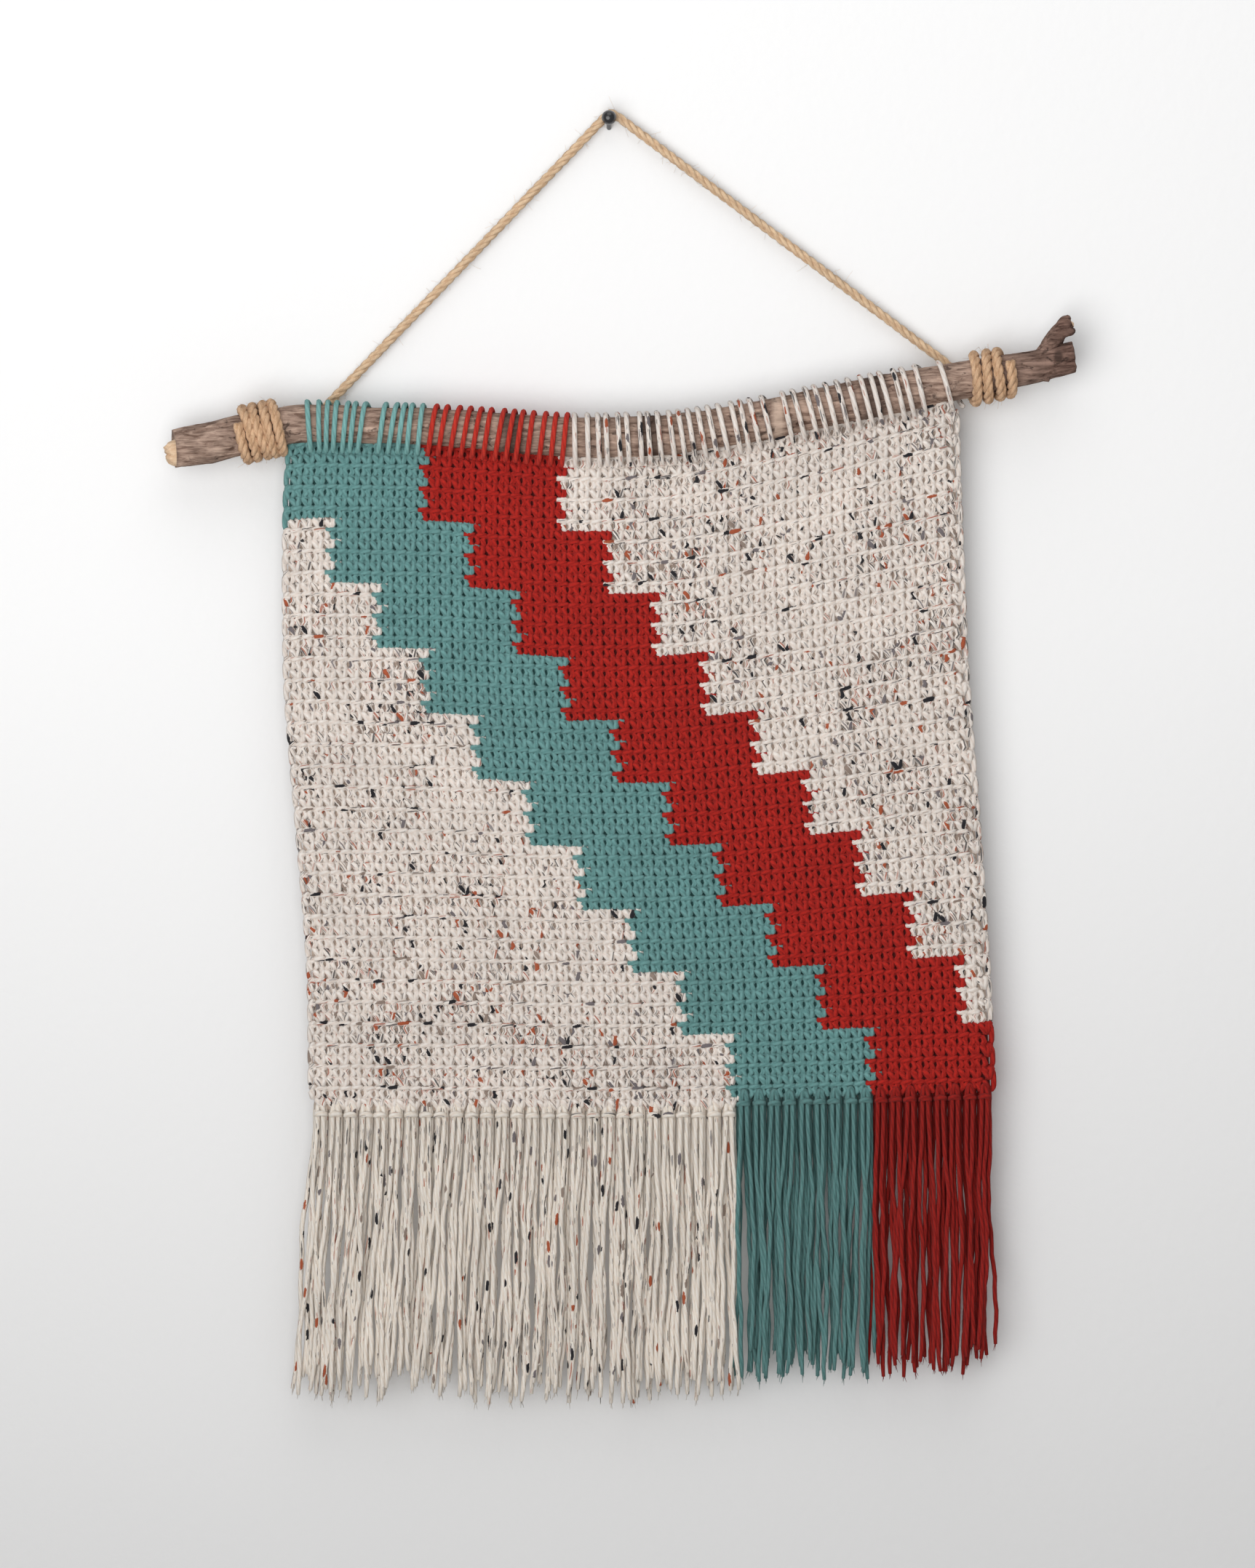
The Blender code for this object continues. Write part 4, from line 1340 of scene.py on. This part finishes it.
ground = add_piece(
    "cloth_ground",
    ground_mesh(),
    [shaded_ground_material(name + "_ground", GROUND_SHADE_COLOURS[name]) for name in YARNS],
    ["crochet_panel"],
)
thicken = ground.modifiers.new("thickness", "SOLIDIFY")
thicken.thickness = GROUND_THICKNESS
thicken.offset = 0.0

# %% [markdown]
# Where the work is turned at the end of a row, one chain climbs to the next row. These chains are the small
# bumps down both sides, one for every second row, with the right side a row later than the left.

# %% Turning chains
EDGE_BULGE = 0.0011
EDGE_RINGS = 14
EDGE_FULLNESS = 0.95
EDGE_RUN_ON = 0.02
EDGE_PATH = [
    # out from the edge in bulges, rows down, towards the viewer in depth units
    (-1.6, 0.15, 0.8),
    (0.2, 0.10, 1.1),
    (1.2, 0.45, 0.6),
    (1.3, 1.00, 0.0),
    (1.2, 1.50, -0.6),
    (0.2, 1.85, -1.0),
    (-1.6, 1.80, -0.7),
]


def edge_paths(colour):
    """The turning chains of one colour, on both sides."""
    path = resample(EDGE_PATH, EDGE_RINGS)
    found = []
    for row in range(ROWS - 1):
        right = row % 2
        if stitch_colour((COLUMNS - 1) * right, row) != colour:
            continue
        side = np.full(EDGE_RINGS, float(right))
        points = cloth_point(side, row + path[:, 1], path[:, 2] * DEPTH_UNIT)
        points[:, 0] += path[:, 0] * EDGE_BULGE * (2 * right - 1)
        found.append(points)
    return found


for colour, yarn in YARNS.items():
    paths = edge_paths(colour)
    mesh = joined_tubes(colour + "_edge", paths, YARN_RADIUS * EDGE_FULLNESS, STITCH_SIDES, EDGE_RUN_ON)
    add_piece(colour + "_edge_chains", mesh, [yarn])

# %% [markdown]
# Whipstitches hold the top edge to the branch: up the front, over, down the back and through the first row
# of the cloth. Each colour is one long yarn, so each is one tube with its turns worked out by a loop.
# The coloured yarns of the whipstitches are paler copies of the cloth's yarns: painted light, since a single
# strand out in front catches more light.

# %% Whipstitches
LASH_RADIUS = 0.00148
LASH_GAP = 0.0003
LASH_STEPS = 26
LASH_SIDES = 8
LASH_JITTER = 0.0008
LASH_SEED = 11
LASH_DIP = 0.0030
DIP_SHARPNESS = 6
BOTTOM_ANGLE = 0.75 * TURN
LASHINGS = {
    # colour: runs of first x, last x, turns, lean of the first turn's top, lean of the last turn's top
    "teal": [
        (-0.1730, -0.1420, 7, -0.0017, 0.0040),
        (-0.1312, -0.1089, 5, 0.0050, 0.0030),
    ],
    "red": [(-0.1014, -0.0263, 13, 0.0045, 0.0018)],
    "cream": [
        (-0.0189, 0.0903, 19, -0.0010, -0.0016),
        (0.1033, 0.1789, 13, -0.0016, -0.0022),
        (0.1945, 0.1945, 1, -0.0050, -0.0050),
    ],
}


def lash_turns(runs, rng):
    """The x and the lean of each turn, one after the other."""
    turns = []
    for first, last, count, lean_first, lean_last in runs:
        for i in range(count):
            share = i / max(count - 1, 1)
            x = first + (last - first) * share + rng.uniform(-LASH_JITTER, LASH_JITTER)
            lean = lean_first + (lean_last - lean_first) * share
            turns.append((x, lean + rng.uniform(-LASH_JITTER, LASH_JITTER)))
    return turns


def lash_path(turns):
    """The yarn round the branch. At the bottom it dips into the cloth."""
    pitch = (turns[-1][0] - turns[0][0]) / (len(turns) - 1)
    share = np.arange(LASH_STEPS) / LASH_STEPS
    xs, angles = [], []
    for i, (x, lean) in enumerate(turns):
        following, following_lean = turns[i + 1] if i + 1 < len(turns) else (x + pitch, lean)
        bottom, top, onward = x - lean / 2, x + lean / 2, following - following_lean / 2
        rising = bottom + (top - bottom) * share * 2
        falling = top + (onward - top) * (share * 2 - 1)
        xs.append(np.where(share < 0.5, rising, falling))
        angles.append(BOTTOM_ANGLE - TURN * share)
    x, angle = np.concatenate(xs), np.concatenate(angles)
    dip = LASH_DIP * np.maximum(-np.sin(angle), 0) ** DIP_SHARPNESS
    return around_branch(x, angle, branch_at(x)[2] + LASH_GAP + LASH_RADIUS + dip)


# The teal and red whipstitch yarns are paler copies of the cloth's yarns: painted light.
LIT_LASH_YARNS = {
    "cream": YARNS["cream"],
    "teal": yarn_material("lit_teal_lash_yarn", (142, 198, 194), (102, 156, 153)),
    "red": yarn_material("lit_red_lash_yarn", (220, 60, 44), (158, 30, 22), sheen=DEEP_RED_SHEEN),
}
lash_rng = random.Random(LASH_SEED)
for colour, runs in LASHINGS.items():
    path = lash_path(lash_turns(runs, lash_rng))
    mesh = joined_tubes(colour + "_whipstitches", path[None], LASH_RADIUS, LASH_SIDES)
    add_piece(colour + "_whipstitches", mesh, [LIT_LASH_YARNS[colour]], ["lashing_" + colour])

# %% [markdown]
# Each knot of the fringe is three folded yarns, pulled through the hem and gripped by a bar. The folds show
# as small arches over the hem, and their ends hang down in three layers. So a tube runs from the tip of one
# strand, up over its arch and down to the tip of the next. No two strands sway alike, because each one gets
# its own slow bend, its own fine shiver and its own drift.

# %% Knots and strands of the fringe
CREAM_EXTRA_ROW = 0.0075
PLAIN_EXTRA_ROW = 0.0018
COLOUR_STEP_X = 0.0735
FRINGES = {
    # run: first and last x. spread: how far the tips lean at either end. layer: depth from one to the next
    "cream": {
        "run": (-0.1709, 0.0735),
        "knots": 28,
        "lengths": (0.1450, 0.1680),
        "spread": (-0.0105, 0.0000),
        "radius": 0.00142,
        "layer": 0.0023,
    },
    "teal": {
        "run": (0.0735, 0.1525),
        "knots": 9,
        "lengths": (0.1420, 0.1625),
        "spread": (0.0000, -0.0010),
        "radius": 0.00130,
        "layer": 0.0036,
    },
    "red": {
        "run": (0.1525, 0.2209),
        "knots": 8,
        "lengths": (0.1430, 0.1620),
        "spread": (-0.0010, 0.0012),
        "radius": 0.00130,
        "layer": 0.0036,
    },
}
FRINGE_RINGS = 22
KNOT_REACH = 0.0085
KNOT_PINCH = 0.78
SETTLE_LENGTH = 0.022
SWAY = 0.0013
SWAY_WAVES = (0.7, 1.5)
SHIVER = 0.0004
SHIVER_WAVES = (2.5, 6.0)
SWAY_GROWTH = 3
DRIFT = 0.0018
WOBBLE = 0.0010
WOBBLE_WAVES = 0.8
WOBBLE_JITTER = 0.0004
DRAWN_BENDS = 4


def hem_share(x):
    """The share of the hem's width at an x."""
    left, right = PANEL_SIDES[-1][1:]
    return (x - left) / (right - left)


def hem_height(x):
    """The height of the hem, which is a row lower under the cream part."""
    extra = CREAM_EXTRA_ROW if x < COLOUR_STEP_X else PLAIN_EXTRA_ROW
    return float(smooth(PANEL_BASE, np.array(x))[0]) - extra


def knot_centres(fringe):
    """The middle of each knot, and the distance from one to the next."""
    first, last = fringe["run"]
    pitch = (last - first) / fringe["knots"]
    return [first + (knot + 0.5) * pitch for knot in range(fringe["knots"])], pitch


def wave_down(height, waves, bend, share):
    """A sideways wave that starts from nothing at the knot."""
    return height * (np.sin(TURN * waves * share + bend) - np.sin(bend))


def strand_points(x, centre, forward, length, tip, rng):
    """One hanging strand from the knot down, a little forward or back, with its own sway."""
    share = np.linspace(0, 1, FRINGE_RINGS)
    down = KNOT_REACH + share * (length - KNOT_REACH)
    settled = 1 - np.exp(-((down - KNOT_REACH) / SETTLE_LENGTH))
    pinched = centre + (x - centre) * KNOT_PINCH
    bends = rng.uniform(0, TURN, DRAWN_BENDS)
    waves = rng.uniform(*SWAY_WAVES), rng.uniform(*SHIVER_WAVES)
    sway = wave_down(SWAY, waves[0], bends[0], share) + wave_down(SHIVER, waves[1], bends[1], share)
    lean = tip + rng.normal(0, DRIFT)
    depth = panel_depth(hem_share(x), 1.0) - forward
    wobble = WOBBLE * np.sin(TURN * waves[0] * WOBBLE_WAVES * share + bends[2])
    wobble = wobble + rng.normal(0, WOBBLE_JITTER)
    points = np.empty((FRINGE_RINGS, 3))
    swing = sway * np.minimum(share * SWAY_GROWTH, 1)
    points[:, 0] = pinched + (x - pinched) * settled + share * lean + swing
    points[:, 1] = depth + wobble * settled
    points[:, 2] = hem_height(centre) - down
    return points


print("knots:", {colour: fringe["knots"] for colour, fringe in FRINGES.items()})

# %% [markdown]
# The fold of each yarn is a tall arch that joins two strands. The three folds of a knot lie in front, in
# the middle and behind, a little to either side, so that they look like one rounded knot.

# %% Folds of the fringe
STRAND_PLACES = {1: (-0.25, 0.25), 0: (-0.08, 0.42), -1: (-0.42, 0.08)}
ARCH_RINGS = 15
ARCH_RISE = 0.0056
ARCH_JITTER = 0.0006
ARCH_LEAN = 0.0006
ARCH_FULLNESS = 1.2
TIP_TAPER = (0.78, 0.98)


def arch_points(first, last, side, height):
    """The fold over the hem, from the top of one strand to the top of the next."""
    half_turn = np.linspace(math.pi, 0, ARCH_RINGS)
    rise = np.sin(half_turn)
    middle = (first + last) / 2
    points = np.empty((ARCH_RINGS, 3))
    points[:, 0] = middle[0] + (last[0] - first[0]) / 2 * np.cos(half_turn)
    points[:, 1] = middle[1] + side * ARCH_LEAN * rise
    points[:, 2] = middle[2] + (height - middle[2]) * np.sqrt(rise)
    return points[1:-1]


def folded_yarn(centre, places, side, spread, fringe, pitch, rng):
    """One yarn from the tip of a strand over its fold to the tip of the next strand."""
    strands = []
    for place in places:
        length = rng.uniform(*fringe["lengths"])
        x = centre + place * pitch
        strands.append(strand_points(x, centre, side * fringe["layer"], length, spread, rng))
    top = hem_height(centre) + ARCH_RISE + rng.uniform(-ARCH_JITTER, ARCH_JITTER)
    arch = arch_points(strands[0][0], strands[1][0], side, top)
    return np.concatenate([strands[0][::-1], arch, strands[1]])


def fringe_paths(fringe, rng):
    """Three folded yarns for each knot of one fringe."""
    centres, pitch = knot_centres(fringe)
    first_spread, last_spread = fringe["spread"]
    paths = []
    for knot, centre in enumerate(centres):
        spread = first_spread + (last_spread - first_spread) * (knot + 0.5) / len(centres)
        for side, places in STRAND_PLACES.items():
            paths.append(folded_yarn(centre, places, side, spread, fringe, pitch, rng))
    return np.array(paths)


def strand_radii(paths, radius):
    """Full at the fold, even down the strands and tapered at both tips."""
    shares = np.ones(paths.shape[1])
    shares[FRINGE_RINGS:-FRINGE_RINGS] = ARCH_FULLNESS
    shares[:len(TIP_TAPER)] = TIP_TAPER
    shares[-len(TIP_TAPER):] = TIP_TAPER[::-1]
    return radius * shares


print("strands in a knot:", sum(len(places) for places in STRAND_PLACES.values()))

# %% [markdown]
# Two small things make the fringe look cut and knotted by hand: the bar of each knot, which bends round the
# front of the strands, and a few loose fibres that stand out of every cut tip.

# %% Bars and loose fibres
BAR_RADIUS = 0.0017
BAR_RINGS = 11
BAR_SPAN = 0.31
BAR_BACK = 0.0008
BAR_FRONT = 0.0060
BAR_DROP = 0.0008
BAR_SAG = 0.0012
BAR_JITTER = (0.0003, 0.0002)
WISPS = 3
WISP_RINGS = 3
WISP_REACH = (0.003, 0.007)
WISP_SPREAD = 0.13
WISP_RADII = np.array([0.00036, 0.00030, 0.00010])
WISP_AIM = 2


def bar_paths(fringe, rng):
    """The bar of each knot, which passes in front of the strands."""
    centres, pitch = knot_centres(fringe)
    sweep = np.linspace(math.pi, 0, BAR_RINGS)
    paths = []
    for centre in centres:
        centre = centre + rng.normal(0, BAR_JITTER[0])
        x = centre + BAR_SPAN * pitch * np.cos(sweep)
        y = panel_depth(hem_share(centre), 1.0) + BAR_BACK - BAR_FRONT * np.sqrt(np.sin(sweep))
        z = hem_height(centre) - BAR_DROP + BAR_SAG * (np.sin(sweep) - 1) + rng.normal(0, BAR_JITTER[1])
        paths.append(np.column_stack([x, y, z]))
    return np.array(paths)


def wisp_paths(paths, rng):
    """Loose fibres that stand out of the cut tips."""
    share = np.linspace(0, 1, WISP_RINGS)[:, None]
    wisps = []
    for path in paths:
        for tip, inner in ((path[0], path[WISP_AIM]), (path[-1], path[-1 - WISP_AIM])):
            ahead = (tip - inner) / np.linalg.norm(tip - inner)
            for _ in range(WISPS):
                spread = rng.normal(0, WISP_SPREAD, 3)
                reach = rng.uniform(*WISP_REACH)
                start = tip - ahead * WISP_REACH[0]
                wisps.append(start + (ahead + spread * share) * share * reach)
    return np.array(wisps)


print("loose fibres at each tip:", WISPS)

# %% [markdown]
# Hanging free, the yarns are less crowded with tufts, and the coloured ones are given deeper colours: painted
# shade, for the light that gets lost between the strands. So the fringe has its own yarn materials.

# %% Fringe
LOOSE_TWEED = [
    # share of the cells with a tuft, length of a cell, cells round the yarn, largest reach, strength
    (0.15, 0.0060, 8.0, 0.40, 0.5),
    (0.10, 0.0150, 7.0, 0.42, 0.8),
    (0.08, 0.0085, 2.8, 0.50, 1.0),
]
# The teal and red fringe yarns are darker copies of the cloth's: painted shade.
LOOSE_YARNS = {
    "cream": yarn_material("loose_cream_yarn", (255, 249, 240), (240, 223, 204), LOOSE_TWEED),
    "teal": yarn_material("shaded_loose_teal_yarn", (106, 152, 150), (64, 108, 106)),
    "red": yarn_material("shaded_loose_red_yarn", (172, 33, 25), (110, 14, 10), sheen=DEEP_RED_SHEEN),
}
FRINGE_SIDES = 6
FRINGE_RUN_ON = 0.41
SHORT_RUN_ON = 0.02
FRINGE_SEED = 21


def fringe_mesh(colour, fringe, rng):
    """The folded yarns, the bars and the loose fibres of one colour."""
    paths = fringe_paths(fringe, rng)
    radii = strand_radii(paths, fringe["radius"])
    strands = joined_tubes(colour + "_strands", paths, radii, FRINGE_SIDES, FRINGE_RUN_ON)
    bars = joined_tubes(colour + "_bars", bar_paths(fringe, rng), BAR_RADIUS, FRINGE_SIDES, SHORT_RUN_ON)
    wisps = joined_tubes(colour + "_wisps", wisp_paths(paths, rng), WISP_RADII, HAIR_SIDES, SHORT_RUN_ON)
    return join_meshes(colour + "_fringe", [strands, bars, wisps])


fringe_rng = np.random.default_rng(FRINGE_SEED)
for colour, fringe in FRINGES.items():
    mesh = fringe_mesh(colour, fringe, fringe_rng)
    yarns = [LOOSE_YARNS[colour]]
    add_piece(colour + "_fringe", mesh, yarns, ["fringe_" + colour])

# %% [markdown]
# Everything that is worked into the cloth or knotted to it is a piece of its own, and all of them ride on one
# body with the ground sheet.

# %% [markdown]
# The pin is a round head on a short collar and neck, tilted up a little and cut off where it enters the
# wall. A profile spun round its axis gives a clean ball, and the cut is one bisect.

# %% Pin
PIN_TILT = math.radians(22)
PIN_HEAD_RADIUS = 0.0043
PIN_HEAD_REACH = 0.0128
PIN_NECK_RADIUS = 0.0015
PIN_COLLAR_RADIUS = 0.0026
PIN_HEAD_ARC = math.radians(140)
PIN_HEAD_STEPS = 22
PIN_TURN_STEPS = 48
PIN_SHARP = math.radians(35)
MERGE_DISTANCE = 1e-6


def pin_profile():
    """Half of the pin's outline, from the top of the head to the foot, as radius and reach."""
    profile = []
    for i in range(PIN_HEAD_STEPS):
        angle = PIN_HEAD_ARC * i / (PIN_HEAD_STEPS - 1)
        reach = PIN_HEAD_REACH + PIN_HEAD_RADIUS * math.cos(angle)
        profile.append((PIN_HEAD_RADIUS * math.sin(angle), reach))
    neck = PIN_HEAD_REACH - PIN_HEAD_RADIUS
    profile += [
        (PIN_COLLAR_RADIUS, neck),
        (PIN_NECK_RADIUS, neck - PIN_NECK_RADIUS),
        (PIN_NECK_RADIUS, -2 * PIN_NECK_RADIUS),
        (0.0, -2 * PIN_NECK_RADIUS),
    ]
    return profile


def pin_mesh():
    """The profile spun round, tilted and cut level with the wall."""
    bm = bmesh.new()
    verts = [bm.verts.new((radius, 0.0, reach)) for radius, reach in pin_profile()]
    outline = verts + [bm.edges.new(pair) for pair in zip(verts, verts[1:])]
    whole_turn = {"cent": (0, 0, 0), "axis": (0, 0, 1), "angle": TURN, "steps": PIN_TURN_STEPS}
    bmesh.ops.spin(bm, geom=outline, use_merge=True, **whole_turn)
    bmesh.ops.remove_doubles(bm, verts=bm.verts, dist=MERGE_DISTANCE)
    bmesh.ops.transform(bm, matrix=Matrix.Rotation(TURN / 4 - PIN_TILT, 4, "X"), verts=bm.verts)
    geom = bm.verts[:] + bm.edges[:] + bm.faces[:]
    bmesh.ops.bisect_plane(bm, geom=geom, plane_co=(0, 0, 0), plane_no=(0, 1, 0), clear_outer=True)
    bmesh.ops.contextual_create(bm, geom=[edge for edge in bm.edges if edge.is_boundary])
    bmesh.ops.recalc_face_normals(bm, faces=bm.faces)
    mesh = bpy.data.meshes.new("ball_pin")
    bm.to_mesh(mesh)
    bm.free()
    mesh.shade_smooth()
    mesh.set_sharp_from_angle(angle=PIN_SHARP)
    return mesh


PIN_COLOUR = (28, 28, 31)
PIN_TONE = (0.0012, 0.8)
PIN_SCUFFS = (0.7, 1.3, 0.14, 0.34)


def pin_material():
    """Glossy black plastic with faint scuffs."""
    material, tree, shader = new_material("pin_plastic", Coat_Weight=0.4, Coat_Roughness=0.08)
    tone = add_toned_colour(tree, shader, linear(PIN_COLOUR), *PIN_TONE)
    tree.links.new(remap(tree, tone, *PIN_SCUFFS), shader.inputs["Roughness"])
    return material


add_piece("ball_pin", pin_mesh(), [pin_material()], ["wall_pin"])

# %% [markdown]
# The room is only a stage: a white plaster wall and a pale floor far below. The wall shows from its front
# alone, so that the back of the cloth can be looked at too, and it lets shadow rays and bounced light
# through, so that it neither shades the scene behind it nor brightens the cloth. Its colour is painted a
# little darker towards the floor: painted shade for the light that falls off there.

# %% Stage
WALL_SIZE = 6.0
WALL_SETBACK = 0.0004
# The lower tone, and the heights over which it fades in, are painted shade towards the floor.
WALL_SHADED_TONES = (228, 228, 228), (244, 244, 244)
WALL_SHADE_HEIGHTS = (-0.85, -0.28)
PLASTER_NOISE = {"Scale": 160.0, "Detail": 4.0}
WALL_BUMP = (0.0012, 0.25)
FLOOR_DROP = 1.30
FLOOR_COLOUR = (222, 220, 217)
FLOOR_TONE = (0.4, 0.05)


def plaster_material():
    """White plaster with painted shade towards the floor, clear from behind and to bounced light."""
    material, tree, shader = new_material("plaster", Roughness=0.9)
    place = add_node(tree, "TexCoord").outputs["Object"]
    height = add_node(tree, "SeparateXYZ", {0: place}).outputs[2]
    # The plaster darkens towards the floor: painted shade.
    tone = mix_colours(tree, remap(tree, height, *WALL_SHADE_HEIGHTS), *[linear(tone) for tone in WALL_SHADED_TONES])
    tree.links.new(tone, shader.inputs["Base Color"])
    rough = add_node(tree, "TexNoise", {"Vector": place, **PLASTER_NOISE}).outputs[0]
    add_bump(tree, shader, rough, *WALL_BUMP)
    clear = add_node(tree, "BsdfTransparent").outputs[0]
    behind = add_node(tree, "NewGeometry").outputs["Backfacing"]
    path = add_node(tree, "LightPath").outputs
    indirect = calculate(tree, "MAXIMUM", path["Is Shadow Ray"], path["Is Diffuse Ray"])
    hidden = calculate(tree, "MAXIMUM", behind, indirect)
    mixed = add_node(tree, "MixShader", {0: hidden, 1: shader.outputs[0], 2: clear})
    tree.links.new(mixed.outputs[0], tree.nodes["Material Output"].inputs["Surface"])
    return material


def floor_material():
    """A matt pale floor, a little uneven in tone."""
    material, tree, shader = new_material("pale_floor", Roughness=0.7)
    add_toned_colour(tree, shader, linear(FLOOR_COLOUR), *FLOOR_TONE)
    return material


def stage_plane(name, matrix, material):
    """One flat square of the room, which isn't part of the object."""
    bm = bmesh.new()
    bmesh.ops.create_grid(bm, x_segments=1, y_segments=1, size=WALL_SIZE / 2, matrix=matrix)
    mesh = bpy.data.meshes.new(name)
    bm.to_mesh(mesh)
    bm.free()
    mesh.materials.append(material)
    plane = bpy.data.objects.new(name, mesh)
    bpy.context.scene.collection.objects.link(plane)
    print(name, WALL_SIZE, "m square")


wall_place = Matrix.Translation((0, WALL_SETBACK, WALL_SIZE / 2 - FLOOR_DROP))
stage_plane("plaster_wall", wall_place @ Matrix.Rotation(TURN / 4, 4, "X"), plaster_material())
stage_plane("pale_floor", Matrix.Translation((0, 0, -FLOOR_DROP)), floor_material())

# %% [markdown]
# The light is soft: a wide window a little to the left of the camera gives the form and the faint shadows
# to the right, a dimmer ceiling light lifts the top of the wall, and an even sky fills the rest. All three
# are nearly white, so the yarns keep their own colours.

# %% Light
LIGHTS = [
    # name, place, size, power, spread in degrees, the point it looks at
    ("window", (-0.60, -2.00, -0.20), 2.3, 21.3, 126, (0.1, 0.0, 0.80)),
    ("ceiling", (0.10, -1.20, 1.90), 2.4, 16.0, 180, (0.0, 0.0, -0.10)),
]
SKY_COLOUR = (0.995, 0.995, 1.0, 1.0)
SKY_STRENGTH = 0.37


def area_light(name, place, size, power, spread, target):
    """A soft round light that the camera doesn't see."""
    data = bpy.data.lights.new(name, "AREA")
    data.shape = "DISK"
    data.size = size
    data.energy = power
    data.spread = math.radians(spread)
    light = bpy.data.objects.new(name, data)
    light.location = place
    aim = Vector(target) - light.location
    light.rotation_euler = aim.to_track_quat("-Z", "Y").to_euler()
    light.visible_camera = False
    bpy.context.scene.collection.objects.link(light)
    print("light", name, power, "W")


for values in LIGHTS:
    area_light(*values)
world = bpy.data.worlds.new("even_sky")
world.use_nodes = True
sky = world.node_tree.nodes["Background"].inputs
sky["Color"].default_value = SKY_COLOUR
sky["Strength"].default_value = SKY_STRENGTH
bpy.context.scene.world = world
bpy.context.scene.view_settings.view_transform = "Standard"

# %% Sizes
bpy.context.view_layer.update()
total = sum(count_triangles(obj.data) for obj in LOOKS.objects)
print("triangles in all", total)
